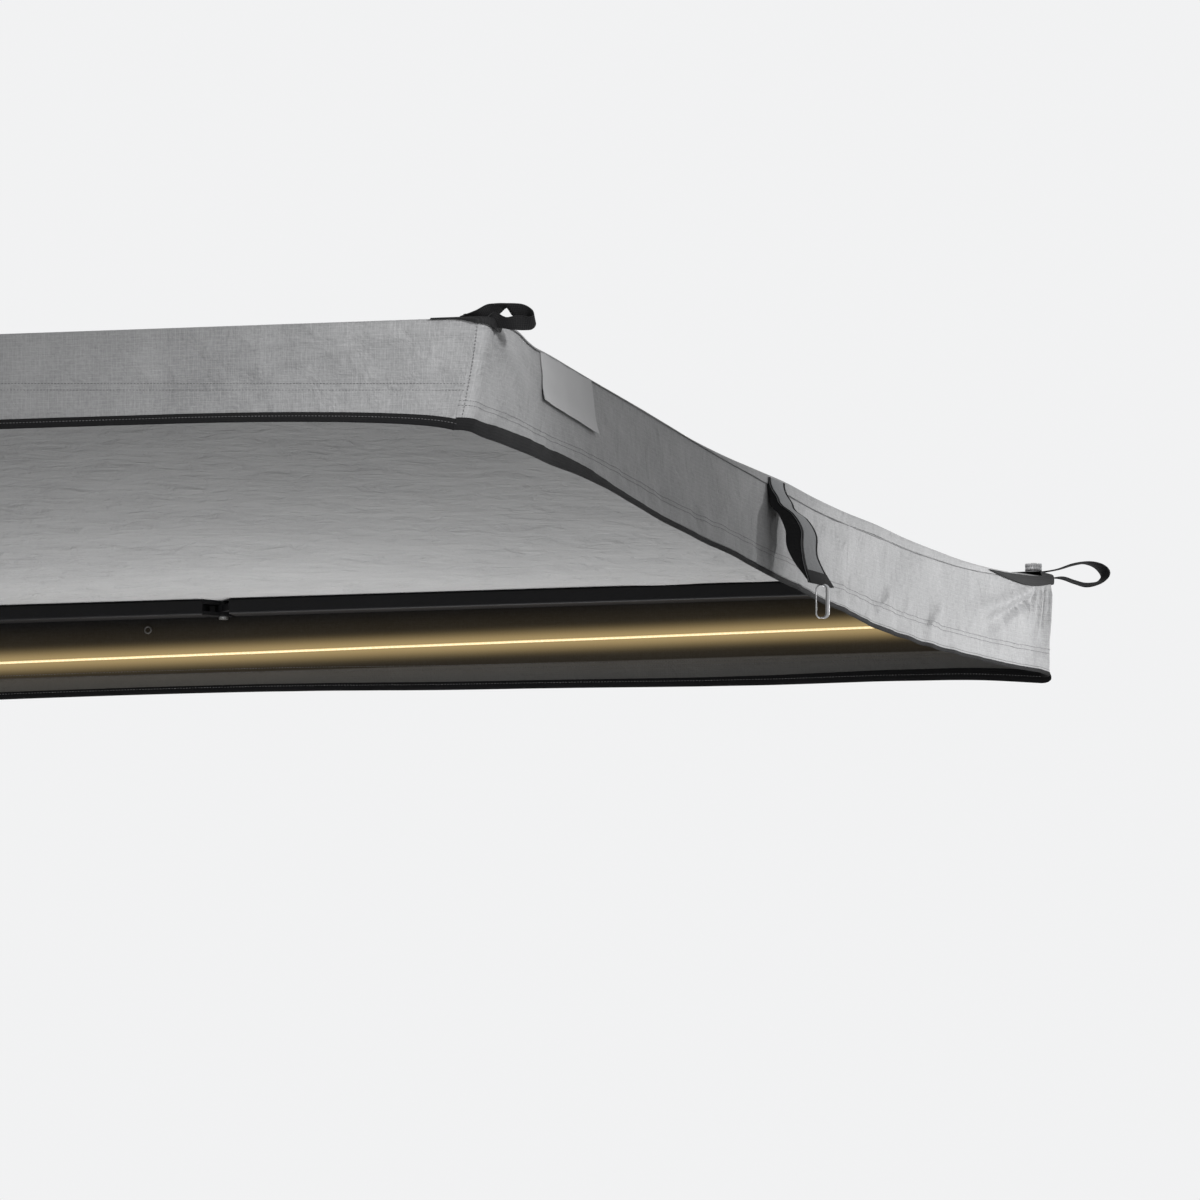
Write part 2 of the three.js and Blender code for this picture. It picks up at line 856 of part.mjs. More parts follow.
// How far the tab stands off, as shares of its length and of its full stand-off
const tabCurveShares = [[0, 0], [0.2, 0.2], [0.34, 0.56], [0.5, 0.74], [0.66, 0.76], [0.84, 0.84], [1, 1]];

function tabOut(share) {
  const next = Math.max(tabCurveShares.findIndex(([along]) => along >= share), 1);
  const [alongLow, outLow] = tabCurveShares[next - 1];
  const [alongHigh, outHigh] = tabCurveShares[next];
  return THREE.MathUtils.lerp(outLow, outHigh, (share - alongLow) / (alongHigh - alongLow));
}

// A strap that hangs from the front seam and stands off the valance lower down
function centreTab() {
  const high = canopyHeight - tabTopDrop;
  const off = clothThickness / 2 + tabThickness / 2 + clearance;
  const columns = columnsBetween(tabStart, tabStart + tabWidth);
  return sheet(columns, steps(0, 1, tabSteps), tabThickness, (x, t) => {
    const face = frontFace(x);
    const z = high - t * tabHeight;
    const out = tabStandOff * tabOut(t) + frontFold(x, high) + foldDepth * t;
    const middle = new THREE.Vector3(x, frontY(x), z - frontDrop(x));
    middle.addScaledVector(face, off - clothThickness / 2 + out);
    return { middle, face };
  });
}

function tabRing() {
  const x = tabStart + tabWidth / 2;
  const off = clothThickness / 2 + tabThickness / 2 + clearance + tabStandOff + foldDepth;
  const y = frontY(x) - off;
  const top = canopyHeight - tabTopDrop - tabHeight - frontDrop(x) - clearance * 2;
  const outline = new THREE.Shape();
  const hole = new THREE.Path();
  const ends = ringWidth / 2;
  roundedBox(outline, y - ends, y + ends, top - ringHeight, top, ends - clearance);
  const inner = ends - ringWire;
  roundedBox(hole, y - inner, y + inner, top - ringHeight + ringWire, top - ringWire, inner - clearance);
  outline.holes.push(hole);
  return alongX(outline, x - ringWire / 2, x + ringWire / 2);
}

function ledLine(y) {
  const share = -y / projection;
  return canopyHeight - THREE.MathUtils.lerp(ledDropRear, ledDropFront, share);
}

function ledStrip() {
  const rear = -valanceRearInset - inletLength - clearance;
  const front = ledFrontInset - projection;
  const outer = halfWidth - clothThickness - clearance;
  const outline = [
    [rear, ledLine(rear) + ledHeight / 2],
    [rear, ledLine(rear) - ledHeight / 2],
    [front, ledLine(front) - ledHeight / 2],
    [front, ledLine(front) + ledHeight / 2],
  ];
  const shape = new THREE.Shape(outline.map(([y, z]) => new THREE.Vector2(y, z)));
  return alongX(shape, outer - ledWidth, outer);
}

function ledInlet() {
  const rear = -valanceRearInset;
  const z = ledLine(rear);
  const xLow = plateHalf + clearance;
  const xHigh = halfWidth - clothThickness - clearance;
  const body = block(xLow, xHigh, rear - inletLength, rear, z - inletHeight / 2, z + inletHeight / 2);
  const middle = (xLow + xHigh) / 2;
  return cut(body, lying(inletPortRadius, rear - inletPortDepth, rear + cutOverrun, middle, z));
}

// A ring pressed through the far valance, seen from under the canopy
function eyelet() {
  const xHigh = halfWidth - clothThickness - clearance;
  const outline = new THREE.Shape();
  outline.absarc(-eyeletFromRack, canopyHeight - eyeletDrop, eyeletRadius, 0, Math.PI * 2);
  const hole = new THREE.Path();
  hole.absarc(-eyeletFromRack, canopyHeight - eyeletDrop, eyeletHoleRadius, 0, Math.PI * 2);
  outline.holes.push(hole);
  return alongX(outline, xHigh - eyeletThickness, xHigh, roundSides);
}

// The roll lies against the plate, under the folded arms
const coverY = plateFront - clearance - strapThickness - clearance - coverRadius;
const coverZ = armBottom - coverBelowArms - strapThickness - clearance - coverRadius;
const coverHalf = knuckleRadius - bracketBaseWidth - axisX - coverEndGap;

function rolledCover() {
  const half = coverHalf;
  const points = [
    [0, -half],
    [coverRadius - coverEndRadius, -half],
    [coverRadius, coverEndRadius - half],
    [coverRadius, half - coverEndRadius],
    [coverRadius - coverEndRadius, half],
    [0, half],
  ];
  const roll = new THREE.LatheGeometry(points.map(([x, y]) => new THREE.Vector2(x, y)), roundSides);
  return roll.rotateZ(Math.PI / 2).translate(0, coverY, coverZ);
}

function coverStrap(x) {
  const outline = new THREE.Shape();
  const inner = coverRadius + clearance;
  outline.absarc(coverY, coverZ, inner + strapThickness, 0, Math.PI * 2);
  const hole = new THREE.Path();
  hole.absarc(coverY, coverZ, inner, 0, Math.PI * 2);
  outline.holes.push(hole);
  return alongX(outline, x - strapWidth / 2, x + strapWidth / 2, roundSides);
}

// Back plate and what holds it
add('back_plate', backPlate(), anodised);
addPair('plate_cap', plateCap(), blackPlastic);
let rackBoltNumber = 0;
for (const x of [-rackBoltSpacing / 2, rackBoltSpacing / 2]) {
  for (const z of [-slotOffset, slotOffset]) {
    rackBoltNumber += 1;
    add(`rack_bolt_${rackBoltNumber}`, rackBolt(x, z), steel);
    add(`rack_nut_${rackBoltNumber}`, rackNut(x, z), steel);
  }
}

// Shoulders
addPair('shoulder_bracket', shoulderBracket(), blackPowder);
addPair('shoulder_bolt', hingeBolt(shoulderY), steel);
bracketBoltPlaces().forEach((place, i) => addPair(`bracket_bolt_${i + 1}`, bracketBolt(place), steel));

// Arms
const upperStart = shoulderY - knuckleLead - armButtGap / 2;
const upperEnd = elbowY + knuckleLead + armButtGap / 2;
const foreStart = elbowY - knuckleLead - armButtGap / 2;
const foreEnd = tipY + tipPadRadius + tipFlangeThickness + clearance;
addPair('shoulder_knuckle', tongueFitting(shoulderY, -1), blackPowder);
addPair('upper_arm', armTube(upperEnd, upperStart), anodised);
addPair('elbow_fork', forkFitting(elbowY, 1), blackPowder);
addPair('elbow_bolt', hingeBolt(elbowY), steel);
addPair('elbow_tongue', tongueFitting(elbowY, -1), blackPowder);
addPair('forearm', armTube(foreEnd, foreStart), anodised);
addPair('tip_fitting', tipFitting(), blackPowder);
add('tip_stud_near', tipStud(nutBottom + lowNutHeight), steel);
add('tip_stud_far', onSide(tipStud(nutBottom + nutHeight + studTail), 1), steel);
add('low_nut_near', lowNut(), blackPowder);
add('thumb_nut_far', onSide(thumbNut(), 1), chrome);

// Cloth
const clothTop = clothUnderside - clearance;
const clothBottom = bindingTop + clearance;
add('canopy', canopy(), canopyCloth);
add('canopy_bead', canopyBead(), innerCloth);
addPair('side_valance', hungSide(clothTop, clothBottom, clothThickness), valanceCloth);
add('front_valance', hungFront(clothTop, clothBottom, clothThickness), valanceCloth);
addPair('side_binding', hungSide(bindingTop, valanceBottom, bindingThickness), blackWebbing);
add('front_binding', hungFront(bindingTop, valanceBottom, bindingThickness), blackWebbing);
addPair('corner_patch', cornerPatch(), blackWebbing);
addPair('guy_loop', guyLoop(), blackWebbing);
add('label_patch', labelPatch(), labelCloth);
add('centre_tab', centreTab(), blackWebbing);
add('tab_ring', tabRing(), chrome);

// Lamp
add('led_strip', ledStrip(), lampDiffuser);
add('led_inlet', ledInlet(), blackPlastic);
add('eyelet', eyelet(), steel);

// Rolled cover
add('rolled_cover', rolledCover(), coverCloth);
for (let i = 0; i < strapCount; i += 1) {
  const x = (i / (strapCount - 1) - 0.5) * strapSpacing;
  add(`cover_strap_${i + 1}`, coverStrap(x), blackWebbing);
}

export default group;
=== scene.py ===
# %% [markdown]
# # A side awning for a roof rack
# A sheet of grey cloth is held out level beside a vehicle by two folding arms. It hangs down at
# both sides and at the front as a valance with a black bound edge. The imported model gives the
# frame: every piece below goes where the frame says, in metres, and rides on one of its bodies.

# %% Load the frame
import math
from functools import partial

import bmesh
import bpy
import numpy as np
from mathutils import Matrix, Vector


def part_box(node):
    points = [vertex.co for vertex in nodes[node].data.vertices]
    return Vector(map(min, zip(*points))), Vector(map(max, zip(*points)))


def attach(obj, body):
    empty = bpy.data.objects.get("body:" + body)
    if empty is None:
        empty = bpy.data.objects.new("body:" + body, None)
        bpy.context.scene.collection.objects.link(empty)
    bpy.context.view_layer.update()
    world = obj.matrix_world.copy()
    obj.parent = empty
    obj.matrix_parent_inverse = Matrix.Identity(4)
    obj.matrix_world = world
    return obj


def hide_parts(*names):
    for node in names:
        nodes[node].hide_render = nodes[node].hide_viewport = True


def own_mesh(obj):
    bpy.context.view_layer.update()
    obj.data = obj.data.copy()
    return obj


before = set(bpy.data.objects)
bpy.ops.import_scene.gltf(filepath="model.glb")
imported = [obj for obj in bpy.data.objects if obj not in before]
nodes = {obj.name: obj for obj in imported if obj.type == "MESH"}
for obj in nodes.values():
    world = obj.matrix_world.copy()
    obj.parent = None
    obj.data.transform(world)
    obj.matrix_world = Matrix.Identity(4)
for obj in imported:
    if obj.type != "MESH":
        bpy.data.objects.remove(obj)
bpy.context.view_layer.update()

scene = bpy.context.scene
print("loaded", len(nodes), "nodes")

# %% [markdown]
# ## Camera
# The photograph was taken from far off with a long lens, from below and beyond the near end. A
# camera that stands 24 m away and looks through a 535 mm lens gives the same flat perspective.

# %% Camera
camera_place = (-23.0356, -8.5684, -2.8535)
camera_target = (0.0, -2.24866, -0.15515)


def placed(name, data):
    piece = bpy.data.objects.new(name, data)
    scene.collection.objects.link(piece)
    return piece


def aim(piece, place, target):
    """Puts a camera or a lamp at place, turned to target. Returns the way it looks."""
    way = (Vector(target) - Vector(place)).normalized()
    piece.location = place
    piece.rotation_euler = way.to_track_quat("-Z", "Y").to_euler()
    return way


camera = placed("camera", bpy.data.cameras.new("camera"))
camera.data.lens = 534.8
camera.data.sensor_width = 36.0
camera.data.clip_end = 200.0
view_axis = aim(camera, camera_place, camera_target)
scene.camera = camera
scene.view_settings.view_transform = "Standard"
image_right = view_axis.cross(Vector((0, 0, 1))).normalized()
image_up = image_right.cross(view_axis)
print("camera", math.dist(camera_target, camera_place), "m away")

# %% [markdown]
# ## Shader sums
# A material is a small program. `Wire` wraps a socket, so that a sum of sockets can be written as a
# Python expression, and `Nodes` adds any other node with its settings and inputs in one call. The
# stitches' Geometry Nodes are made with it too.

# %% Shader helpers
class Wire:
    """A socket that can stand in a Python sum. Each operation adds a Math node."""

    def __init__(self, tree, socket):
        self.tree = tree
        self.socket = socket

    def math(self, operation, *values, clamp=False):
        node = self.tree.nodes.new("ShaderNodeMath")
        node.operation = operation
        node.use_clamp = clamp
        for slot, value in zip(node.inputs, values):
            if isinstance(value, Wire):
                self.tree.links.new(value.socket, slot)
            else:
                slot.default_value = value
        return Wire(self.tree, node.outputs[0])

    def __add__(self, other):
        return self.math("ADD", self, other)

    __radd__ = __add__

    def __mul__(self, other):
        return self.math("MULTIPLY", self, other)

    __rmul__ = __mul__

    def __sub__(self, other):
        return self.math("SUBTRACT", self, other)

    def __rsub__(self, other):
        return self.math("SUBTRACT", other, self)

    def __truediv__(self, other):
        return self.math("DIVIDE", self, other)

    def __pow__(self, other):
        return self.math("POWER", self, other)

    def cos(self):
        return self.math("COSINE", self)

    def size(self):
        return self.math("ABSOLUTE", self)

    def clamped(self):
        return self.math("ADD", self, 0.0, clamp=True)


print("sums of sockets ready")

# %% Nodes and finishes
class Nodes:
    """The nodes of a material, of the world or of a Geometry Nodes tree."""

    def __init__(self, tree):
        self.tree = tree
        tree.nodes.clear()

    def node(self, kind, settings=(), inputs=(), output=0):
        """A shader node's kind goes without its first word."""
        node = self.tree.nodes.new(kind if "Node" in kind else "ShaderNode" + kind)
        for name, value in dict(settings).items():
            setattr(node, name, value)
        for name, value in dict(inputs).items():
            if isinstance(value, Wire):
                self.tree.links.new(value.socket, node.inputs[name])
            else:
                node.inputs[name].default_value = value
        return Wire(self.tree, node.outputs[output]) if node.outputs else node

    def rays(self, *kinds):
        """1 for a ray of any of these kinds."""
        wires = [self.node("LightPath", output=f"Is {kind} Ray") for kind in kinds]
        any_of = wires[0]
        for wire in wires[1:]:
            any_of = wire.math("MAXIMUM", any_of, wire)
        return any_of


class Finish(Nodes):
    """A material with one Principled shader."""

    def __init__(self, name, roughness=0.7, metallic=0.0, specular=0.3, **sockets):
        self.material = bpy.data.materials.new(name)
        self.material.use_nodes = True
        super().__init__(self.material.node_tree)
        self.surface = self.node("BsdfPrincipled")
        self.inputs = self.surface.socket.node.inputs
        self.out = self.node("OutputMaterial", {}, {"Surface": self.surface})
        values = {"Roughness": roughness, "Metallic": metallic, "Specular IOR Level": specular}
        for socket, value in (values | sockets).items():
            self.set(socket.replace("_", " "), value)

    def set(self, socket, value):
        if isinstance(value, Wire):
            self.tree.links.new(value.socket, self.inputs[socket])
        else:
            self.inputs[socket].default_value = value

    def object_place(self):
        return self.node("TexCoord", output="Object")

    def uv_place(self):
        return self.node("UVMap", {"uv_map": "cloth"})

    def parts(self, vector):
        first = self.node("SeparateXYZ", {}, {0: vector})
        return [Wire(self.tree, output) for output in first.socket.node.outputs]

    def scaled(self, vector, scale):
        return self.node("VectorMath", {"operation": "MULTIPLY"}, {0: vector, 1: scale})

    def noise(self, vector, scale, detail=2.0, roughness=0.5, distortion=0.0):
        values = {"Vector": vector, "Scale": scale, "Detail": detail}
        values |= {"Roughness": roughness, "Distortion": distortion}
        return self.node("TexNoise", {}, values, "Fac")

    def mix(self, share, first, second):
        """Two colours, or a colour and a link, by share."""
        colours = [c if isinstance(c, Wire) else (*c, 1.0) for c in (first, second)]
        values = {0: share, 6: colours[0], 7: colours[1]}
        return self.node("Mix", {"data_type": "RGBA"}, values, 2)

    def step(self, value, low, high):
        """0 below low, 1 above high, smooth between."""
        limits = {"From Min": low, "From Max": high, "To Min": 0.0, "To Max": 1.0}
        settings = {"interpolation_type": "SMOOTHSTEP"}
        return self.node("MapRange", settings, {"Value": value} | limits, "Result")

    def bump(self, height):
        """height is in metres."""
        values = {"Height": height, "Distance": 1.0, "Strength": 1.0}
        self.set("Normal", self.node("Bump", {}, values, "Normal"))


def threads(coordinate, pitch, sharpness=2.0):
    """Ridges of height 0 to 1, one each pitch."""
    wave = (coordinate * (2 * math.pi / pitch)).cos()
    return (wave * 0.5 + 0.5) ** sharpness


print("shader helpers ready")

# %% [markdown]
# ## Grey cloth
# The awning's cloth is a coated ripstop weave: fine threads with a heavier one every 6 mm, both
# ways. Its outer face is mid grey. The pattern reads the cloth's own UV map, which is in metres
# along the cloth, so that it keeps its scale and stays with the cloth when the awning folds.

# %% Cloth finishes
ripstop_pitch = 0.006
weave_pitch = 0.0012


def cloth_finish(name, light, dark, roughness, crumple, specular=0.25, bright_thread=0.05):
    """A ripstop cloth whose colour lies between dark and light."""
    cloth = Finish(name, roughness=roughness, specular=specular)
    place = cloth.uv_place()
    along, down, _ = cloth.parts(place)
    clouds = cloth.noise(place, 3.0, 4.0, 0.6)
    specks = cloth.noise(place, 260.0, 2.0)
    grid = threads(along, ripstop_pitch, 14.0) + threads(down, ripstop_pitch, 14.0)
    weave = threads(along, weave_pitch) + threads(down, weave_pitch)
    crumples = cloth.noise(place, 26.0, 5.0, 0.55, 0.6)
    slubs = cloth.noise(cloth.scaled(place, (60.0, 900.0, 1.0)), 1.0, 3.0, 0.6)
    slubs = slubs + cloth.noise(cloth.scaled(place, (900.0, 60.0, 1.0)), 1.0, 3.0, 0.6)
    mottle = cloth.noise(place, 13.0, 3.0, 0.6)
    shade = (clouds - 0.5) * 1.2 + (mottle - 0.5) * 0.9 + (specks - 0.5) * 0.7
    shade = shade + (slubs - 1.0) * 1.2 + grid * bright_thread + 0.45
    cloth.set("Base Color", cloth.mix(shade.clamped(), dark, light))
    cloth.set("Roughness", (roughness - 0.1 + specks * 0.2).clamped())
    height = crumples * crumple + slubs * 0.00035 + grid * 0.0001 + weave * 0.00003
    cloth.bump(height)
    return cloth


outer_cloth = cloth_finish(
    "outer_cloth", (0.43, 0.43, 0.435), (0.27, 0.272, 0.276), 0.6, 0.006, bright_thread=0.2
)
under_cloth = cloth_finish(
    "under_cloth", (0.42, 0.42, 0.42), (0.34, 0.34, 0.342), 0.7, 0.012, specular=0.05
)
inner_cloth = cloth_finish(
    "inner_cloth", (0.034, 0.034, 0.035), (0.02, 0.02, 0.021), 0.75, 0.004, 0.06
)
print("cloth finishes ready")

# %% [markdown]
# The far valance carries a lit strip on its inside. The strip's light on the cloth is a painted
# glow:
# the inner cloth round the strip gives off a little warm light of its own, fading with the
# distance.

# %% Inner cloth with a painted glow
strip_height_rear = -0.0543
strip_rise_per_metre = 0.01033
fold_height = 0.034
glow_reach = 0.030
faint_glow_reach = 0.06


def strip_height(y):
    return strip_height_rear - strip_rise_per_metre * y


cloth_with_painted_glow = cloth_finish(
    "inner_cloth_with_painted_glow", (0.041, 0.041, 0.042), (0.027, 0.027, 0.028), 0.75, 0.004, 0.06
)
along, down, _ = cloth_with_painted_glow.parts(cloth_with_painted_glow.uv_place())
strip_depth = fold_height - strip_height_rear - along * strip_rise_per_metre
from_strip = (down - strip_depth).size()
# Painted glow: emission on the cloth stands in for the strip's light falling on it.
glow = (1.0 - (from_strip / glow_reach) ** 2.0).clamped() ** 4.5
glow = glow + (1.0 - (from_strip / faint_glow_reach) ** 2.0).clamped() ** 2.0 * 0.07
glow = glow * cloth_with_painted_glow.step(along, 0.06, 0.12) * (1.0 - cloth_with_painted_glow.step(along, 2.462, 2.48))
plain_shade = Wire(cloth_with_painted_glow.tree, cloth_with_painted_glow.inputs["Base Color"].links[0].from_socket)
in_hem = cloth_with_painted_glow.step(down, 0.1005, 0.1035)
cloth_with_painted_glow.set("Base Color", cloth_with_painted_glow.mix(in_hem, plain_shade, (0.17, 0.167, 0.16)))
cloth_with_painted_glow.set("Emission Color", cloth_with_painted_glow.mix(glow.clamped(), (0, 0, 0), (1.0, 0.72, 0.32)))
cloth_with_painted_glow.set("Emission Strength", 0.36)
print("lit cloth ready")

# %% [markdown]
# ## Webbing, tape and trim
# Webbing and binding tape are woven in ribs across their width. The patch on the front is a smooth
# film, and the tab in the middle is plain cloth.

# %% Webbing, tape, patch and rolled cover
def webbing_finish(name, light, dark, rib_pitch, specular=0.3):
    tape = Finish(name, roughness=0.7, specular=specular)
    place = tape.uv_place()
    along, across, _ = tape.parts(place)
    ribs = threads(along, rib_pitch)
    cords = threads(across, rib_pitch * 1.4)
    fluff = tape.noise(place, 900.0, 3.0)
    shade = ribs * 0.5 + cords * 0.2 + fluff * 0.4
    tape.set("Base Color", tape.mix(shade.clamped(), dark, light))
    tape.set("Roughness", (0.55 + fluff * 0.3).clamped())
    tape.bump(ribs * 0.00025 + cords * 0.00012 + fluff * 0.0001)
    return tape


webbing = webbing_finish("webbing", (0.030, 0.030, 0.031), (0.009, 0.009, 0.0095), 0.0022, 0.12)
binding_tape = webbing_finish(
    "binding_tape", (0.024, 0.024, 0.025), (0.008, 0.008, 0.0085), 0.0016, 0.08
)
thread = Finish("thread", roughness=0.5, specular=0.4)
thread_twist = threads(thread.parts(thread.object_place())[0], 0.0006)
thread.set("Base Color", thread.mix(thread_twist, (0.12, 0.12, 0.122), (0.19, 0.19, 0.193)))

label_cloth = Finish("label_film", roughness=0.5, specular=0.35)
label_place = label_cloth.uv_place()
label_clouds = label_cloth.noise(label_place, 14.0, 4.0)
label_weave = label_cloth.noise(label_place, 700.0, 2.0)
label_shade = (label_clouds * 0.8 + label_weave * 0.3).clamped()
label_shade = label_cloth.mix(label_shade, (0.44, 0.44, 0.445), (0.52, 0.52, 0.525))
label_cloth.set("Base Color", label_shade)
label_cloth.set("Roughness", (0.42 + label_weave * 0.2).clamped())
label_cloth.bump(label_clouds * 0.0006 + label_weave * 0.00008)

tab_cloth = cloth_finish("tab_cloth", (0.31, 0.315, 0.325), (0.23, 0.235, 0.24), 0.7, 0.002)
cover_cloth = cloth_finish("cover_cloth", (0.035, 0.035, 0.037), (0.02, 0.02, 0.022), 0.5, 0.005)
print("webbing and trim ready")

# %% [markdown]
# ## Hard finishes
# Metal parts read Object coordinates, because the frame's nodes carry no UV map. Anodised
# aluminium shows fine lines along the extrusion, powder coat has an orange-peel surface with bare
# metal worn through at a few places, and zinc is mottled.

# %% Metal and plastic finishes
def drawn_metal(name, light, dark, roughness, metallic, stretch):
    metal = Finish(name, roughness=roughness, metallic=metallic, specular=0.5)
    place = metal.object_place()
    lines = metal.noise(metal.scaled(place, stretch), 1.0, 4.0, 0.6)
    blotches = metal.noise(place, 9.0, 3.0)
    metal.set("Base Color", metal.mix((lines * 0.7 + blotches * 0.4).clamped(), dark, light))
    metal.set("Roughness", (roughness - 0.12 + lines * 0.15 + blotches * 0.12).clamped())
    metal.bump(lines * 0.00012)
    return metal


def coated(name, light, dark, roughness, grain, bare=None):
    coat = Finish(name, roughness=roughness, specular=0.14)
    place = coat.object_place()
    peel = coat.noise(place, grain, 2.0)
    blotches = coat.noise(place, 14.0, 3.0)
    shade = coat.mix((peel * 0.4 + blotches * 0.6).clamped(), dark, light)
    if bare:
        scuffs = coat.noise(coat.scaled(place, (400.0, 90.0, 400.0)), 1.0, 5.0, 0.7)
        shade = coat.mix(coat.step(scuffs * blotches, 0.44, 0.5), shade, bare)
    coat.set("Base Color", shade)
    coat.set("Roughness", (roughness - 0.1 + peel * 0.12 + blotches * 0.1).clamped())
    coat.bump(peel * 0.0002)
    return coat


anodised = drawn_metal(
    "anodised", (0.06, 0.06, 0.065), (0.03, 0.03, 0.034), 0.42, 0.75, (3.0, 900.0, 900.0)
)
powder = coated(
    "powder_coat", (0.02, 0.02, 0.021), (0.01, 0.01, 0.011), 0.5, 900.0, (0.1, 0.1, 0.103)
)
zinc = drawn_metal("zinc", (0.62, 0.62, 0.6), (0.4, 0.4, 0.4), 0.36, 0.95, (300.0, 300.0, 60.0))
chrome = drawn_metal(
    "bright_metal", (0.5, 0.5, 0.5), (0.3, 0.3, 0.31), 0.3, 1.0, (200.0, 200.0, 900.0)
)
dark_metal = drawn_metal(
    "blackened_brass", (0.22, 0.21, 0.2), (0.07, 0.07, 0.07), 0.45, 0.9, (300.0, 300.0, 300.0)
)
plastic = coated("moulded_plastic", (0.035, 0.035, 0.037), (0.02, 0.02, 0.022), 0.55, 1400.0)
lamp = Finish("lamp_film", roughness=0.35, specular=0.4, Emission_Strength=1.0)
lamp_dots = threads(lamp.parts(lamp.uv_place())[0], 0.008)
lamp.set("Base Color", lamp.mix(lamp_dots, (0.8, 0.75, 0.62), (0.85, 0.8, 0.7)))
lamp.set("Emission Color", lamp.mix(lamp_dots * 0.5, (0.95, 0.70, 0.34), (1.0, 0.8, 0.46)))
print("hard finishes ready")

# %% [markdown]
# ## The frame's own nodes
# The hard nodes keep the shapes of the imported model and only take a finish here.

# %% Finishes for the frame's nodes
finish_words = (
    (anodised, ("back_plate",)),
    (powder, ("upper_arm", "forearm", "shoulder_bracket", "shoulder_knuckle", "elbow_fork")),
    (powder, ("elbow_tongue", "tip_fitting", "low_nut")),
    (zinc, ("rack_bolt", "rack_nut", "bracket_bolt", "shoulder_bolt", "elbow_bolt", "tip_stud")),
    (plastic, ("plate_cap", "led_inlet")),
)
dressed = 0
for name, node in nodes.items():
    for finish, words in finish_words:
        if name.startswith(words):
            for slot in node.material_slots:
                slot.material = finish.material
            dressed += 1
print("dressed", dressed, "hard nodes")

# %% [markdown]
# ## Sheets, ribbons and turned pieces
# A cloth piece is a grid of points with a little thickness: an outer face, an inner face and a rim,
# so that it is closed. A tape or a turned piece is a skin over a row of rings of points.

# %% Mesh helpers
sharp_angle = math.radians(48)


def unit(value):
    """The value, held between 0 and 1."""
    return np.clip(value, 0, 1)


def pull(past, run):
    """0 to 1 over a run of cloth that a corner pulls, more and more towards its end."""
    return unit(past / run) ** 2


def flat_grid(along, across):
    """Places on flat cloth, in metres."""
    return np.stack(np.meshgrid(along, across), axis=2)


def made(name, points, faces, finishes, uv=None, outward=False):
    """An object from points and faces. uv gives each point's place on flat cloth."""
    mesh = bpy.data.meshes.new(name)
    mesh.from_pydata(np.reshape(points, (-1, 3)).tolist(), [], faces)
    if uv is not None:
        corners = np.empty(len(mesh.loops), np.int32)
        mesh.loops.foreach_get("vertex_index", corners)
        flat = np.reshape(uv, (-1, 2))[corners].ravel()
        mesh.uv_layers.new(name="cloth").data.foreach_set("uv", flat)
    if outward:
        skin = bmesh.new()
        skin.from_mesh(mesh)
        bmesh.ops.recalc_face_normals(skin, faces=skin.faces)
        skin.to_mesh(mesh)
        skin.free()
    for finish in finishes:
        mesh.materials.append(finish.material)
    mesh.shade_smooth()
    mesh.set_sharp_from_angle(angle=sharp_angle)
    return placed(name, mesh)


def shell(name, rings, finishes, uv=None, closed=False):
    """A skin over rings x steps points, with a cap at each end or joined into a loop."""
    rings = np.asarray(rings)
    count, steps, _ = rings.shape
    index = np.arange(count * steps).reshape(count, steps)
    first, second = (index, np.roll(index, -1, axis=0)) if closed else (index[:-1], index[1:])
    corners = first, np.roll(first, -1, axis=1), np.roll(second, -1, axis=1), second
    faces = np.stack(corners, axis=-1).reshape(-1, 4).tolist()
    if not closed:
        faces += [index[0].tolist(), index[-1].tolist()]
    return made(name, rings, faces, finishes, uv, outward=True)


def tell(title, *pieces):
    print(title, *(len(piece.data.polygons) for piece in pieces), "faces")


def grid_normals(points):
    normals = np.cross(np.gradient(points, axis=1), np.gradient(points, axis=0))
    return normals / np.linalg.norm(normals, axis=2, keepdims=True)


def cloth_sheet(name, points, uv, thickness, finishes, flip=False):
    """A closed thin mesh round a grid of points, with its first finish on its outer face."""
    rows, columns, _ = points.shape
    normals = grid_normals(points) * (-1 if flip else 1)
    outer = points + normals * thickness / 2
    inner = points - normals * thickness / 2
    count = rows * columns
    index = np.arange(count).reshape(rows, columns)
    corners = index[:-1, :-1], index[:-1, 1:], index[1:, 1:], index[1:, :-1]
    face = np.stack([corner.ravel() for corner in corners], axis=1)
    rims = []
    for first, second in (
        (index[0, :-1], index[0, 1:]),
        (index[:-1, -1], index[1:, -1]),
        (index[-1, 1:], index[-1, :-1]),
        (index[1:, 0], index[:-1, 0]),
    ):
        rims.append(np.stack([second, first, first + count, second + count], axis=1))
    faces = np.concatenate([face, face[:, ::-1] + count, *rims])
    if flip:
        faces = faces[:, ::-1]
    piece = made(name, [outer, inner], faces.tolist(), finishes, [uv, uv])
    slots = np.zeros(len(faces), np.int32)
    slots[len(face):2 * len(face)] = len(finishes) - 1
    piece.data.polygons.foreach_set("material_index", slots)
    piece.data.update()
    return piece


def joined(name, pieces):
    """One object out of several."""
    mesh = bmesh.new()
    materials = []
    for piece in pieces:
        part = piece.data
        moved = []
        for material in part.materials:
            if material not in materials:
                materials.append(material)
            moved.append(materials.index(material))
        slots = np.zeros(len(part.polygons), np.int32)
        part.polygons.foreach_get("material_index", slots)
        part.polygons.foreach_set("material_index", np.array(moved, np.int32)[slots])
        mesh.from_mesh(part)
        bpy.data.objects.remove(piece)
    result = bpy.data.meshes.new(name)
    mesh.to_mesh(result)
    mesh.free()
    for material in materials:
        result.materials.append(material)
    result.set_sharp_from_angle(angle=sharp_angle)
    return placed(name, result)


print("mesh helpers ready")

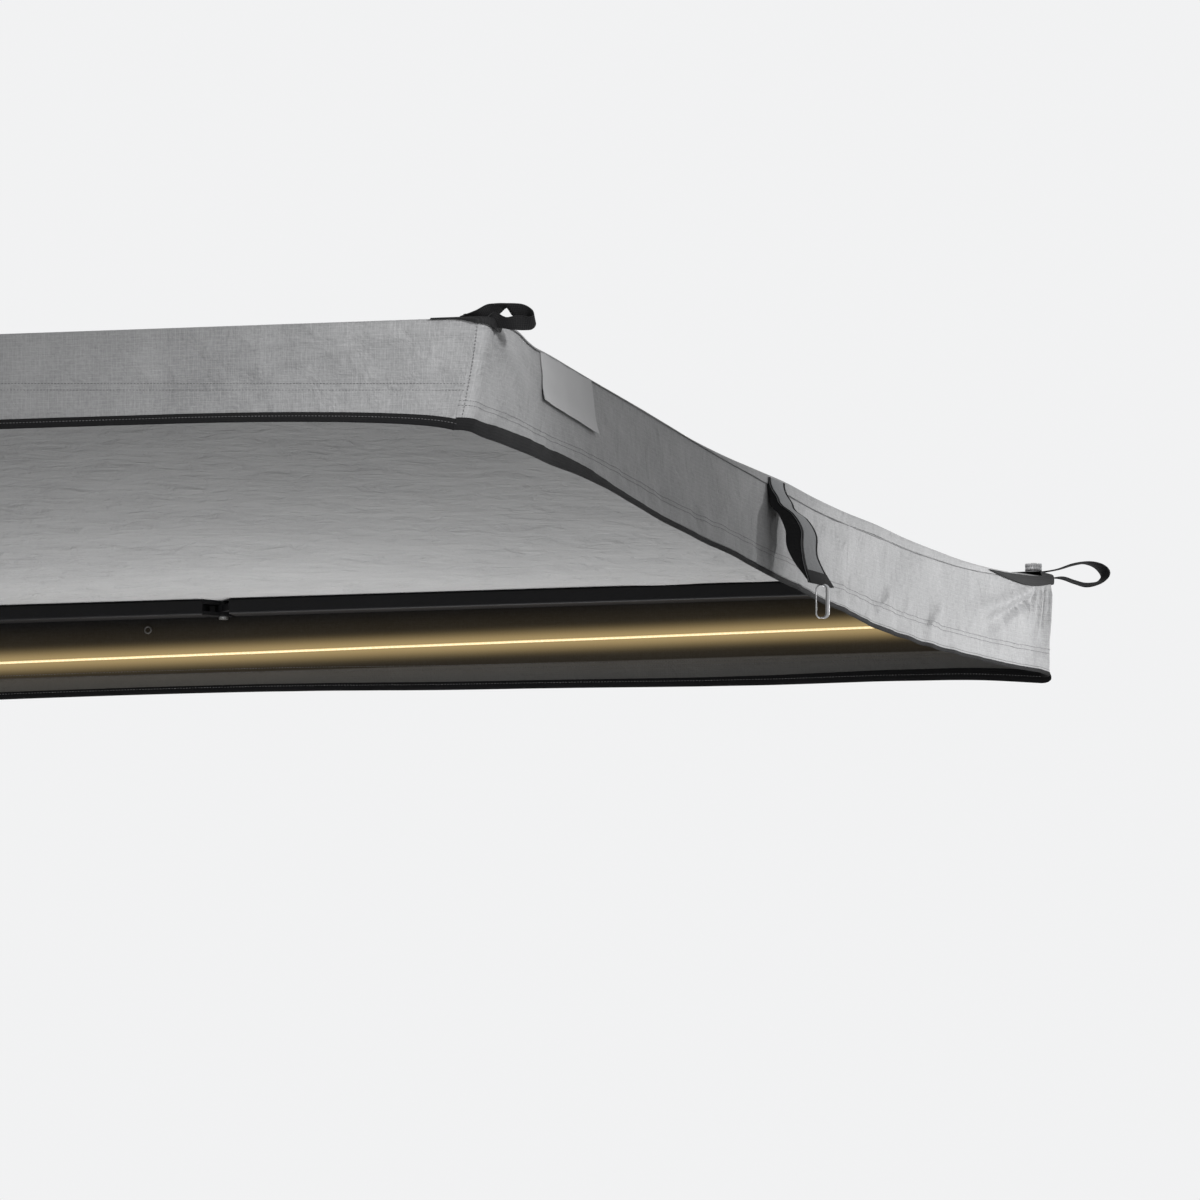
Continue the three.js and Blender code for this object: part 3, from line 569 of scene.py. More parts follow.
# %% Curves, ripples and folds
def through(table, places):
    """A smooth curve through a table of places and values."""
    xs, ys = np.array(table, float).T
    slopes = np.gradient(ys, xs)
    at = np.clip(np.asarray(places, float), xs[0], xs[-1])
    i = np.clip(np.searchsorted(xs, at) - 1, 0, len(xs) - 2)
    width = xs[i + 1] - xs[i]
    t = (at - xs[i]) / width
    return (
        ys[i] * (1 + 2 * t) * (1 - t) ** 2
        + slopes[i] * width * t * (1 - t) ** 2
        + ys[i + 1] * t * t * (3 - 2 * t)
        + slopes[i + 1] * width * t * t * (t - 1)
    )


def lengths_along(points):
    """How far each point of a path is from its first one."""
    steps = np.linalg.norm(np.diff(points, axis=0), axis=1)
    return np.concatenate([[0], np.cumsum(steps)])


def ripples(u, v, pitch, seed):
    """Smooth random height from -1 to 1 over a grid of places, the same on every run."""
    total = np.zeros(np.broadcast(u, v).shape)
    random = np.random.default_rng(seed)
    waves = 20
    for wave in range(waves):
        angle = random.uniform(0, math.pi)
        length = pitch * random.uniform(0.6, 1.8)
        phase = random.uniform(0, 2 * math.pi)
        place = u * math.cos(angle) + v * math.sin(angle)
        total += np.sin(2 * math.pi * place / length + phase)
    return total / math.sqrt(waves)


def ridge(u, v, start, end, width, height):
    """A soft fold from start to end, over a grid of places."""
    start, end = np.array(start, float), np.array(end, float)
    length = np.linalg.norm(end - start)
    line = (end - start) / length
    along = (u - start[0]) * line[0] + (v - start[1]) * line[1]
    off = -(u - start[0]) * line[1] + (v - start[1]) * line[0]
    ends = unit(along / (0.15 * length)) * unit((length - along) / (0.5 * length))
    return height * ends * np.exp(-((off / (width * (0.5 + unit(along / length)))) ** 2))


print("curves, ripples and folds ready")

# %% [markdown]
# ## The front edge
# Between its corners the front edge is pulled a little back and hangs a little low, more on the
# far side of the middle. All cloth along the front follows these two curves.

# %% Front edge
mm = 0.001
half_width = 1.5
corner_radius = 0.018
flat_half = half_width - corner_radius
projection = 2.5
front_inset = 0.030
sag_half = 1.44
cloth_thickness = 0.0010
rear_edge = -0.0225

front_drop_table = [
    (-1.5, 0), (-1.436, 0), (-1.40, -2.8), (-1.35, -4.5), (-1.31, -4.2), (-1.285, -3.2),
    (-1.245, -1.3), (-1.19, 0), (-1.14, 0), (-0.98, 3.1), (-0.815, 7.0), (-0.655, 11.3),
    (-0.495, 16.0), (-0.335, 20.0), (-0.177, 21.4), (-0.02, 20.5), (0.14, 20.0), (0.296, 23.8),
    (0.452, 25.3), (0.61, 24.3), (0.763, 26.4), (0.918, 26.0), (1.073, 24.4), (1.226, 18.7),
    (1.303, 14.5), (1.44, 5.0), (1.482, 0), (1.5, 0),
]
hem_extra_table = [
    (-1.5, 2), (-1.45, 5), (-1.38, 5.5), (-1.3, 4.5), (-1.2, 3), (-1.14, 2), (-1.06, 0), (-0.9, -3),
    (-0.65, -3.3), (-0.5, -1.2), (-0.3, -1), (-0.15, -2), (0.1, 0), (0.37, 1.4), (0.74, 6.5),
    (1.15, 3.3), (1.3, 3.0), (1.44, 3.2), (1.5, 3.6),
]
front_hem_height = -0.106
front_hem_sag = 0.016
front_hem_skew = 1.5
hang = 0.14  # the front valance's height as flat cloth
far_out = 0.009
far_lean = 0.004
far_pull_start, far_pull_run = 1.36, 0.12
near_lean = 0.014
near_pull_start, near_pull_run = -1.34, 0.15
near_out_table = [
    (-1.5, 14), (-1.44, 14), (-1.38, 11.5), (-1.31, 8), (-1.285, 6), (-1.245, 3), (-1.19, 0),
    (1.5, 0),
]


def near_out(x):
    """How far the near corner pushes the cloth out, in metres."""
    return np.clip(through(near_out_table, x), 0, None) * mm


def front_y(x):
    x = np.asarray(x, float)
    pushed = far_out * pull(x - far_pull_start, far_pull_run) + near_out(x)
    x = np.abs(x)
    beyond = np.clip(x - flat_half, 0, corner_radius)
    inset = front_inset * (1 - np.minimum(x / flat_half, 1) ** 2) - pushed
    return inset - projection + corner_radius - np.sqrt(corner_radius ** 2 - beyond ** 2)


def front_face(x):
    """The direction that the front cloth faces, at x."""
    x = np.asarray(x, float)
    beyond = np.clip(np.abs(x) - flat_half, 0, corner_radius)
    turn = np.arcsin(unit(beyond / corner_radius))
    slope = -2 * front_inset * np.clip(x, -flat_half, flat_half) / flat_half ** 2
    slope = np.where(beyond > 0, 0, slope)
    face = np.stack([np.sign(x) * np.sin(turn) + slope, -np.cos(turn), 0 * x], axis=-1)
    return face / np.linalg.norm(face, axis=-1, keepdims=True)


def front_drop(x):
    return through(front_drop_table, x) * mm


def front_hem(x):
    share = np.clip(np.asarray(x, float) / sag_half, -1, 1)
    sag = front_hem_sag * (1 - share ** 2) * (1 + front_hem_skew * share)
    return front_hem_height - sag - through(hem_extra_table, x) * mm


def hem_share(depth):
    return np.clip(depth / hang, 0, 1.1) ** 1.3


def front_columns(pitch, fine=None):
    """Places along the front, close together round the corners, and the length along the cloth."""
    turns = np.linspace(0, math.pi / 2, 7)[1:]
    corner = flat_half + corner_radius * np.sin(turns)
    middle = np.arange(-flat_half, flat_half + pitch / 2, pitch)
    if fine:
        runs = (-flat_half, -1.38, fine), (-1.38, 1.28, pitch), (1.28, flat_half + fine / 2, fine)
        middle = np.concatenate([np.arange(*run) for run in runs])
    middle[-1] = flat_half
    x = np.concatenate([-corner[::-1], middle, corner])
    x = x[np.abs(x) < half_width - mm]
    x = np.concatenate([[-half_width], x, [half_width]])
    y = front_y(x)
    length = np.concatenate([[0], np.cumsum(np.hypot(np.diff(x), np.diff(y)))])
    return x, length - half_width


print("front edge from", front_y(0.0), "to", front_y(1.48))

# %% [markdown]
# ## Canopy
# The canopy is one sheet. Its rear edge is sewn round a cord in the back plate, and its front is
# folded over the top of the valance, where a seam holds it. It sags a little between its edges,
# with fine crumples from having been rolled up, and tension folds that run in from the corners.

# %% Canopy
canopy_sag = 0.008
arm_side = 1.43
wrap_table = [
    (-1.5, 2.0), (-1.35, 2.0), (-1.1, 1.5), (-0.3, 1.5), (-0.1, 7), (0.15, 15), (0.5, 15),
    (0.85, 12.5), (1.0, 10.5), (1.2, 6.5), (1.35, 4.5), (1.5, 3),
]
corner_folds = [(0.75, 0.42, 3.5), (0.55, 0.75, 3.0), (0.3, 0.95, 2.2), (0.95, 0.2, 2.4)]
cloth_top = fold_height - cloth_thickness / 2


def canopy_height(x, y):
    out = unit((rear_edge - y) / (rear_edge - front_y(x)))
    share = np.clip(x / sag_half, -1, 1)
    middle = canopy_sag * (1 - share ** 2) * np.sin(math.pi * out)
    held = unit(out * 6) * unit((1 - out) * 12)
    held = held * unit((arm_side - np.abs(x)) / 0.10)
    crumple = ripples(x, y, 0.16, 11) * 0.0016 + ripples(x, y, 0.42, 12) * 0.0022
    for side in (-1, 1):
        for u, v, height in corner_folds:
            start = (side * 1.44, -2.44)
            end = (side * (1.44 - u), -2.44 + v)
            crumple = crumple + ridge(x, y, start, end, 0.035, height * mm)
    over_arm = 1 - unit((arm_side - np.abs(x)) / 0.06)
    follow = out ** 2 * (1 - over_arm) + unit((out - 0.988) / 0.012) * over_arm
    return cloth_top - middle - front_drop(x) * follow - crumple * held


canopy_x, _ = front_columns(0.015)
canopy_rows = np.append(np.linspace(0, 0.985, 160), (0.988, 0.991, 0.994, 0.997, 1.0))
grid_x, grid_t = np.meshgrid(canopy_x, canopy_rows)
grid_y = rear_edge + (front_y(grid_x) + 0.0012 - rear_edge) * grid_t
canopy_points = np.stack([grid_x, grid_y, canopy_height(grid_x, grid_y)], axis=2)
canopy_uv = np.stack([grid_x, -grid_y], axis=2)
edge_top = canopy_height(canopy_x, front_y(canopy_x))
face = front_face(canopy_x)
wrap_depth = through(wrap_table, canopy_x) * mm
wraps, wrap_uv = [], []
for out, start, share in (
    (0.0006, 0.0002, 0.0), (0.0014, 0.0006, 0.12), (0.0016, 0.0006, 0.4), (0.0016, 0.0006, 0.7),
    (0.0014, 0.0006, 1.0),
):
    depth = start + share * wrap_depth
    edge = np.stack([canopy_x, front_y(canopy_x), edge_top - depth], axis=1) + face * (out - 0.0006)
    wraps.append(edge)
    wrap_uv.append(np.stack([canopy_x, -front_y(canopy_x) + depth], axis=1))
canopy_points = np.concatenate([canopy_points, np.array(wraps)])
canopy_uv = np.concatenate([canopy_uv, np.array(wrap_uv)])
canopy = cloth_sheet(
    "canopy_cloth", canopy_points, canopy_uv, cloth_thickness, [outer_cloth, under_cloth], flip=True
)
tell("canopy", canopy)

# %% [markdown]
# ## Valances
# The valance is the strip of cloth that hangs from the edge. Its folds are worked out as a height
# over the flat cloth, a little for each cause: slow waves, the pull at the corners, and the gathers
# along the stitched hem. The front one turns round both corners and meets the side ones there.

# %% Front valance
valance_top_gap = 0.0012
binding_height = 0.010
valance_thickness = 0.0008
hem_rows = (0.1041, 0.1098)
front_folds = [
    ((1.42, 0.018), (1.07, 0.080), 0.012, 11.0),
    ((1.43, 0.030), (1.15, 0.094), 0.010, -7.0),
    ((1.36, 0.052), (1.27, 0.078), 0.008, 4.0),
    ((1.480, 0.012), (1.474, 0.115), 0.006, 4.0),
    ((1.490, 0.014), (1.488, 0.080), 0.004, -3.0),
    ((1.464, 0.012), (1.450, 0.100), 0.006, -4.5),
    ((1.448, 0.012), (1.428, 0.110), 0.007, 5.0),
    ((1.432, 0.012), (1.400, 0.070), 0.006, -4.5),
    ((1.415, 0.014), (1.372, 0.090), 0.006, 3.5),
    ((1.38, 0.014), (1.16, 0.040), 0.007, 2.0),
    ((-1.46, 0.014), (-1.20, 0.072), 0.016, 5.0),
    ((-1.47, 0.014), (-1.38, 0.092), 0.014, -4.0),
    ((-1.46, 0.008), (-1.02, 0.040), 0.010, 2.0),
    ((-0.86, 0.030), (-0.52, 0.100), 0.014, 1.8),
    ((0.16, 0.020), (0.55, 0.085), 0.016, 1.6),
    ((0.62, 0.116), (0.72, 0.070), 0.007, 3.6),
    ((0.86, 0.118), (0.97, 0.066), 0.007, 4.2),
    ((0.30, 0.114), (0.38, 0.076), 0.007, 2.8),
    ((0.74, 0.118), (0.80, 0.082), 0.006, 3.0),
    ((1.06, 0.122), (1.12, 0.080), 0.007, 3.2),
]


def front_relief(x, depth):
    """How far the front cloth stands out, in metres, at a place and a depth below the fold."""
    down = unit(depth / hang)
    free = unit((flat_half - np.abs(x)) / 0.05)
    at_hem = np.exp(-(((depth - 0.110) / 0.018) ** 2))
    waves = ripples(x, depth * 0.6, 0.33, 21) * 0.0022 * down
    gathers = ripples(x, depth * 0.9, 0.045, 22) * 0.0014 * at_hem
    blotches = ripples(x, depth * 1.3, 0.10, 23) * 0.0017 * unit(x / 0.4) * unit(depth / 0.03)
    total = (waves + gathers + blotches) * free
    for start, end, width, height in front_folds:
        total = total + ridge(x, depth, start, end, width, height * mm)
    return total


def front_point(x, depth, off=0.0):
    """A place on the outer face of the front valance. depth is measured on flat cloth."""
    x, depth = np.broadcast_arrays(np.asarray(x, float), np.asarray(depth, float))
    top = fold_height - front_drop(x)
    z = top + (front_hem(x) - top) * depth / hang
    drawn = near_lean * hem_share(depth) * pull(near_pull_start - x, near_pull_run)
    drawn = drawn + near_out(x) * hem_share(depth)
    drawn = drawn + far_lean * depth / hang * pull(x - far_pull_start, far_pull_run)
    outward = front_face(x) * (off - 0.0008 + front_relief(x, depth))[..., None]
    return np.stack([x, front_y(x) + drawn, z], axis=-1) + outward


def stitched_relief(depth):
    """The hem is a second layer of cloth under two rows of stitches that pull it in."""
    rows = sum(np.exp(-(((depth - row) / 0.0011) ** 2)) for row in hem_rows)
    return unit((depth - 0.1025) / 0.001) * 0.0006 - rows * 0.0005


stitched = [0.1035, 0.1047, 0.1092, 0.1104]
upper, lower = np.linspace(valance_top_gap, 0.1, 20), np.linspace(0.115, hang, 6)
depths = np.unique(np.round(np.concatenate([upper, stitched, lower]), 6))
front_x, front_u = front_columns(0.0055, fine=0.0022)
gx, gd = np.meshgrid(front_x, depths)
front_points = front_point(gx, gd, stitched_relief(gd))
front_valance = cloth_sheet(
    "front_valance_cloth", front_points, flat_grid(front_u, depths), valance_thickness,
    [outer_cloth, inner_cloth], flip=True,
)
tell("front valance", front_valance)

# %% [markdown]
# The near valance is pulled up behind its corner, so its hem climbs by 18 mm. The far one is seen
# from its inside, where the cloth is black.

# %% Side valances
near_rise = 0.0185
near_rise_length = 0.16
near_push = 0.014
side_rear = -0.0032
side_front = -2.4826
near_folds = [  # degrees down from the fold, length, width, height in mm
    (5, 0.55, 0.008, 2.2), (11, 0.42, 0.010, 3.0), (20, 0.30, 0.010, 2.6),
    (35, 0.16, 0.009, 2.2),
]
far_hem_table = [
    (-2.49, -118), (-2.4, -111), (-2.3, -109), (-2.06, -109), (-1.84, -105.5), (-1.6, -102.5),
    (-1.39, -98), (-0.8, -98), (0, -98),
]


def near_hem(y):
    back = np.clip(np.asarray(y, float) + projection, 0, None)
    rise = near_rise * (1 - np.exp(-((back / near_rise_length) ** 1.3)))
    return front_hem_height + rise - 0.007 * np.exp(-back / 0.025)


def far_hem(y):
    return through(far_hem_table, y) * mm


def near_relief(y, depth):
    down = unit(depth / hang)
    back = y + projection
    total = ripples(y, depth * 0.5, 0.4, 31) * 0.0022 * down
    total += ripples(y, depth, 0.06, 32) * 0.0005 * down
    for angle, length, width, height in near_folds:
        turn = math.radians(angle)
        end = (0.012 + length * math.cos(turn), 0.006 + length * math.sin(turn))
        total = total + ridge(back, depth, (0.012, 0.006), end, width, height * mm)
    free = unit((back - 0.018) / 0.03) * unit(-y / 0.1)
    return np.maximum(total * free, -0.003)


def far_relief(y, depth):
    down = unit(depth / hang)
    total = ripples(y, depth * 0.5, 0.35, 41) * 0.0016 * down
    total += ripples(y, depth, 0.07, 42) * 0.0005 * down
    free = unit((y + projection - 0.02) / 0.05) * unit(-y / 0.1)
    return np.clip(total * free, -0.002, 0.004)


def side_point(side, y, depth, off=0.0):
    """A place on the outer face of a side valance. side is -1 near and 1 far."""
    y, depth = np.broadcast_arrays(np.asarray(y, float), np.asarray(depth, float))
    hem = near_hem(y) if side < 0 else far_hem(y)
    relief = near_relief(y, depth) if side < 0 else far_relief(y, depth)
    z = fold_height + (hem - fold_height) * depth / hang
    if side < 0:
        y = y + near_lean * hem_share(depth) * pull(-2.39 - y, 0.0914)
        y = y - near_push * (1 - hem_share(depth)) * pull(-2.30 - y, 0.1814)
    else:
        y = y - (far_out - far_lean * depth / hang) * pull(-2.30 - y, 0.18)
    return np.stack([side * (half_width - 0.0006 + off + relief), y, z], axis=-1)


def near_row_depth(y, row):
    """The two rows of stitches on the near side run at a slope across the cloth."""
    height = -0.0317 + np.clip(np.asarray(y, float) + 1.934, -0.6, 0.45) * 0.0331 - row * 0.0083
    return (fold_height - height) / (fold_height - near_hem(y)) * hang


side_y = np.linspace(side_rear, side_front, 420)
side_rows = np.unique(np.round(np.linspace(valance_top_gap, hang, 27), 6))
gy, gd = np.meshgrid(side_y, side_rows)
off_row = [(gd - near_row_depth(gy, row)) / 0.0022 for row in (0, 1)]
near_pucker = -0.0005 * sum(np.exp(-(off ** 2)) for off in off_row)
side_pieces = {}
for side, name, inside, pucker, hem in (
    (-1, "side_valance_near_cloth", inner_cloth, near_pucker, near_hem),
    (1, "side_valance_far_cloth", cloth_with_painted_glow, stitched_relief(gd) * 0.5, far_hem),
):
    points = side_point(side, gy, gd, pucker)
    uv = np.stack([-gy, gd * (fold_height - hem(gy)) / hang], axis=2)
    finishes = [outer_cloth, inside]
    side_pieces[side] = cloth_sheet(name, points, uv, valance_thickness, finishes, flip=side < 0)
tell("side valances", *side_pieces.values())

# %% [markdown]
# ## Bindings
# A black tape is folded over each lower edge. It is a slim U of tape that stands 1 mm proud of the
# cloth on both faces, swept along the hem.

# %% Bindings
tape_profile = [  # share of the tape's height, share of its half thickness, mm across the tape
    (1.0, 0.7, 0), (0.93, 1.0, 1.2), (0.5, 1.05, 5.5), (0.12, 1.0, 9), (-0.03, 0.5, 10.2),
    (-0.05, -0.5, 11.4), (0.12, -1.0, 12.6), (0.5, -1.05, 16.5), (0.93, -1.0, 21),
    (1.0, -0.7, 22.5),
]
tape_half = 0.0015


def binding(name, cloth_point, places, length, centre, height, low=hang):
    """A tape folded over an edge. cloth_point(place, depth, off) gives points on the cloth."""
    rings, across = [], []
    for rise, off, ring in tape_profile:
        rings.append(cloth_point(places, low - height * rise, off * tape_half + centre))
        across.append(ring * mm)
    uv = flat_grid(length, across)
    return shell(name, np.swapaxes(rings, 0, 1), [binding_tape], np.swapaxes(uv, 0, 1))


front_tape_height = [
    (-1.5, 15), (-1.4, 17), (-1.3, 18), (-1.2, 19), (-1.05, 18), (-0.9, 14), (-0.8, 10), (-0.6, 8),
    (-0.4, 7), (0, 7), (0.4, 6), (0.8, 5), (1.5, 5),
]
front_height = through(front_tape_height, front_x) * mm
front_tape = binding("front_binding_tape", front_point, front_x, front_u, 0.0006, front_height)
far_tape_y = np.append(side_y, (-2.4860, -2.4910, -2.4950, -2.4975, -2.4990))
far_tape_table = [(-2.5, 17), (-2.3, 15.5), (-2.0, 12.5), (-1.5, 11.5), (0, 11)]
far_tape_height = through(far_tape_table, far_tape_y) * mm
far_tape_height[-5:] = 0.016, 0.015, 0.013, 0.009, 0.004
far_tape_low = np.append(np.full(len(side_y), hang), (0.14, 0.1395, 0.1385, 0.137, 0.1355))
tapes = {
    -1: binding("side_binding_near_tape", partial(side_point, -1), side_y, -side_y, 0.0, 0.0135),
    1: binding(
        "side_binding_far_tape", partial(side_point, 1), far_tape_y, -far_tape_y, 0.0003,
        far_tape_height, far_tape_low,
    ),
}
tell("bindings", front_tape, *tapes.values())

# %% [markdown]
# ## Webbing at the corners
# A square of webbing is sewn on each front corner and folded over the edge. A loop for a guy line
# starts on it and goes out, round and back. The two strands twist, so each loop is a ribbon between
# two edges, whose places are out from the corner and up, in mm, as seen across the view.

# %% Corner patches
patch_length = 0.062
patch_thickness = 0.0011
patch_top = 0.0349
patch_folds = (0.0032, 0.35), (0.0034, 0.7), (0.0030, 1.0)


def corner_patch(side, name, wrap_front, wrap_side):
    """Webbing over a corner of the cloth, folded down over its front and side edges."""
    inner = half_width - patch_length
    turns = np.linspace(0, math.pi / 2, 9)
    straight = np.linspace(inner, flat_half, 9)[:-1]
    across = np.concatenate([straight, flat_half + corner_radius * np.sin(turns)])
    x = np.concatenate([across, np.full(7, half_width)])
    side_start = float(front_y(side * half_width))
    along_y = np.linspace(side_start, -projection + patch_length, 8)[1:]
    y = np.concatenate([front_y(side * across), along_y])
    out = np.concatenate([front_face(across)[:, :2], np.tile((1.0, 0.0), (7, 1))])
    middle = np.array([inner + 0.004, -projection + patch_length - 0.004])
    along_side = wrap_side + (wrap_front[-1][1] - wrap_side) * np.array([0.6, 0.3, 0.1, 0, 0, 0, 0])
    wrap = np.concatenate([through(wrap_front, across), along_side]) * mm
    rows = []
    for share in np.linspace(0.04, 1, 9):
        ring = middle + (np.stack([x, y], axis=1) - middle) * share
        rows.append(np.column_stack([ring, np.full(len(x), patch_top)]))
    edge = np.column_stack([x, y])
    for off, down in (
        (0.0011, 0.0003 + 0 * wrap),
        (0.0022, 0.0013 + 0 * wrap),
        *((off, 0.0013 + (wrap - 0.0013) * share) for off, share in patch_folds),
    ):
        rows.append(np.column_stack([edge + out * off, patch_top - down]))
    points = np.array(rows)
    points[..., 0] *= side
    uv = np.stack([points[..., 0], points[..., 1]], axis=2)
    return cloth_sheet(name, points, uv, patch_thickness, [webbing], flip=side > 0)


# At the near corner the webbing is folded 13 to 16 mm down the front. Its black there is partly
# webbing and partly painted shade: it stands for the loop's shadow under the fold.
patches = {
    -1: corner_patch(
        -1, "corner_patch_near_webbing_and_shade",
        [(1.438, 3), (1.448, 13), (1.462, 16), (1.48, 14), (1.5, 8)], 1.6,
    ),
    1: corner_patch(1, "corner_patch_far_webbing", [(1.438, 13), (1.5, 13)], 8.0),
}
tail_x = np.linspace(1.19, 1.481, 50)
tail_top = through([(1.19, 3.2), (1.30, 2.2), (1.38, 1.0), (1.49, 0.6)], tail_x) * mm
tail_low = through([(1.19, 4.0), (1.30, 11.5), (1.40, 15.5), (1.49, 12.5)], tail_x) * mm
tail_rows = []
for share in np.linspace(0, 1, 8):
    depth = tail_top + (tail_low - tail_top) * share
    edge = np.column_stack([tail_x, front_y(tail_x), fold_height - front_drop(tail_x) - depth])
    tail_rows.append(edge + front_face(tail_x) * (0.0032 + 0.0012 * math.sin(math.pi * share)))
tail_rows = np.array(tail_rows)
tail_uv = flat_grid(tail_x, np.linspace(0, 0.014, 8))
tail = cloth_sheet("corner_tail_far_webbing", tail_rows, tail_uv, 0.0012, [webbing], flip=True)
tell("corner patches", *patches.values())

# %% Guy loops
webbing_width = 0.020
near_loop_edges = [
    (-9.7, 8.4, -1.0, -3.0), (5.5, 16.2, 12.0, 0.5), (13.0, 16.8, 19.4, 3.9),
    (20.7, 17.1, 29.5, 12.3), (30.8, 17.3, 36.6, 2.3), (40.9, 17.1, 44.7, 1.4),
    (49.8, 15.9, 53.6, -0.1), (57.4, 12.2, 61.2, -3.0), (62.5, 7.1, 65.6, -6.8),
    (63.1, 2.7, 65.0, -11.2), (58.7, 0.2, 61.2, -15.0), (51.1, 1.6, 52.3, -16.3),
    (40.9, 2.2, 39.7, -15.9), (35.0, 0.4, 32.0, -15.0), (30.0, -0.6, 25.7, -13.8),
    (24.5, 1.0, 17.0, -13.0), (19.0, 4.2, 10.0, -12.0), (8.0, 3.0, -2.1, -10.6),
]
far_loop_edges = [
    (14.9, 6.6, 18.9, 6.4), (37.6, 14.4, 40.3, 12.5), (51.7, 16.8, 53.1, 14.3),
    (63.0, 17.3, 63.1, 11.7), (73.8, 15.7, 70.2, 7.6), (82.6, 12.3, 74.9, 2.6),
    (88.8, 7.1, 77.6, -1.7), (91.0, 2.3, 78.4, -4.8), (89.6, -3.3, 76.9, -7.8),
    (82.6, -10.4, 73.1, -11.4), (71.4, -16.0, 64.5, -13.1), (57.3, -18.8, 54.4, -13.1),
    (40.3, -14.5, 40.3, -9.4), (20.6, -7.6, 23.5, -4.4),
]


def guy_loop(side, name, edges, away, start, end):
    """A ribbon between two edges. away is how far it goes from the camera, per metre out."""
    root = Vector((side * 1.482, -2.5025, 0.0363))
    pairs = [start]
    for first_out, first_up, second_out, second_up in edges:
        gap = math.hypot(first_out - second_out, first_up - second_up) * mm
        half = math.sqrt(max(webbing_width ** 2 - gap ** 2, 0)) / 2
        centre = away * (first_out + second_out) / 2 * mm
        pair = []
        ends = (first_out, first_up, centre - half), (second_out, second_up, centre + half)
        for out, up, depth in ends:
            pair.append(root + image_right * out * mm + image_up * up * mm + view_axis * depth)
        pairs.append(pair)
    pairs.append(end)
    pairs = np.array([[tuple(p) for p in pair] for pair in pairs])
    middle = pairs.mean(axis=1)
    length = lengths_along(middle)
    places = np.linspace(0, length[-1], 72)
    strands = []
    for edge in (0, 1):
        curve = [
            through(np.column_stack([length, pairs[:, edge, axis]]), places) for axis in range(3)
        ]
        strands.append(np.stack(curve, axis=1))
    rows = [strands[0] + (strands[1] - strands[0]) * share for share in np.linspace(0, 1, 6)]
    uv = flat_grid(places, np.linspace(0, webbing_width, 6))
    return cloth_sheet(name, np.array(rows), uv, 0.0015, [webbing]), places[-1]


near_loop, near_loop_length = guy_loop(
    -1, "guy_loop_near_webbing", near_loop_edges, 0.0,
    [(-1.492, -2.474, 0.0366), (-1.472, -2.474, 0.0366)],
    [(-1.492, -2.5030, 0.0290), (-1.472, -2.5030, 0.0290)],
)
far_loop, far_loop_length = guy_loop(
    1, "guy_loop_far_webbing", far_loop_edges, 0.356,
    [(1.472, -2.468, 0.0366), (1.492, -2.468, 0.0366)],
    [(1.476, -2.5035, 0.0300), (1.495, -2.4990, 0.0300)],
)
print("loops", near_loop_length, far_loop_length, "m of webbing")

# %% [markdown]
# ## Patch, tab and ring on the front
# A bare film patch is sewn to the front valance. A short tab of doubled cloth hangs from the front
# seam, stands off the valance and carries a metal ring; its edges and lower end are bound in black.

# %% Patch on the front
label_top = 0.0025
gu, gv = np.meshgrid(np.linspace(0, 1, 58), np.linspace(0, 1, 16))
left = -1.165 + 0.013 * gv
right = -0.900 + 0.030 * gv
gx = left + (right - left) * gu
gd = label_top + (0.0625 + 0.0105 * gu - label_top) * gv
edge_lift = pull(gu - 0.85, 0.15) * 0.0015 + pull(gv - 0.6, 0.4) * 0.003
label_points = front_point(gx, gd, 0.0016 + edge_lift + ripples(gx, gd, 0.09, 51) * 0.0004)
label_uv = np.stack([gx, gd], axis=2)
label = cloth_sheet("label_patch_film", label_points, label_uv, 0.0007, [label_cloth], flip=True)
tell("patch", label)

# %% Tab
tab_start, tab_end = 0.045, 0.123
tab_curve = [
    (4, 0), (11, 0.5), (22, 5), (31, 11), (41, 15), (54, 32), (59, 36), (75, 45), (98, 46),
    (124, 50), (147, 57),
]
tab_depth = np.linspace(0.004, 0.147, 44)


def tab_point(x, depth, off=0.0):
    """A place on the tab, which stands off the valance and turns a little towards its end."""
    x, depth = np.broadcast_arrays(np.asarray(x, float), np.asarray(depth, float))
    out = through(tab_curve, depth / mm) * mm + 0.0024
    across = (x - (tab_start + tab_end) / 2) / (tab_end - tab_start)
    out = out + off - 0.004 * across ** 2 * unit((depth - 0.04) / 0.08)
    out = out + 0.012 * (across + 0.5) * unit((depth - 0.105) / 0.042)
    base = np.stack([x, front_y(x), fold_height - front_drop(x) - depth], axis=-1)
    return base + front_face(x) * out[..., None]


gx, gd = np.meshgrid(np.linspace(tab_start, tab_end, 17), tab_depth)
tab = cloth_sheet(
    "centre_tab_cloth", tab_point(gx, gd), np.stack([gx, gd], axis=2), 0.0014,
    [tab_cloth, inner_cloth], flip=True,
)
tab_length = float(lengths_along(tab_point(0.084, tab_depth))[-1])
print("tab", tab_length, "m long")

# %% Tape of the tab, and its lining with painted shade
tab_tapes = []
for low, high, top, bottom, layer in (
    (tab_start - 0.0008, tab_start + 0.005, 0.004, 0.1475, 0.0012),
    (tab_end - 0.005, tab_end + 0.0008, 0.004, 0.1475, 0.0012),
    (tab_start, tab_end, 0.1305, 0.1485, 0.00156),
):
    gx, gd = np.meshgrid(np.linspace(low, high, 9), np.linspace(top, bottom, 30))
    for off in (layer, -layer):
        uv = np.stack([gd, gx], axis=2)
        tape = cloth_sheet("tape", tab_point(gx, gd, off), uv, 0.0008, [binding_tape], flip=True)
        tab_tapes.append(tape)
tab_tape = joined("centre_tab_tape", tab_tapes)
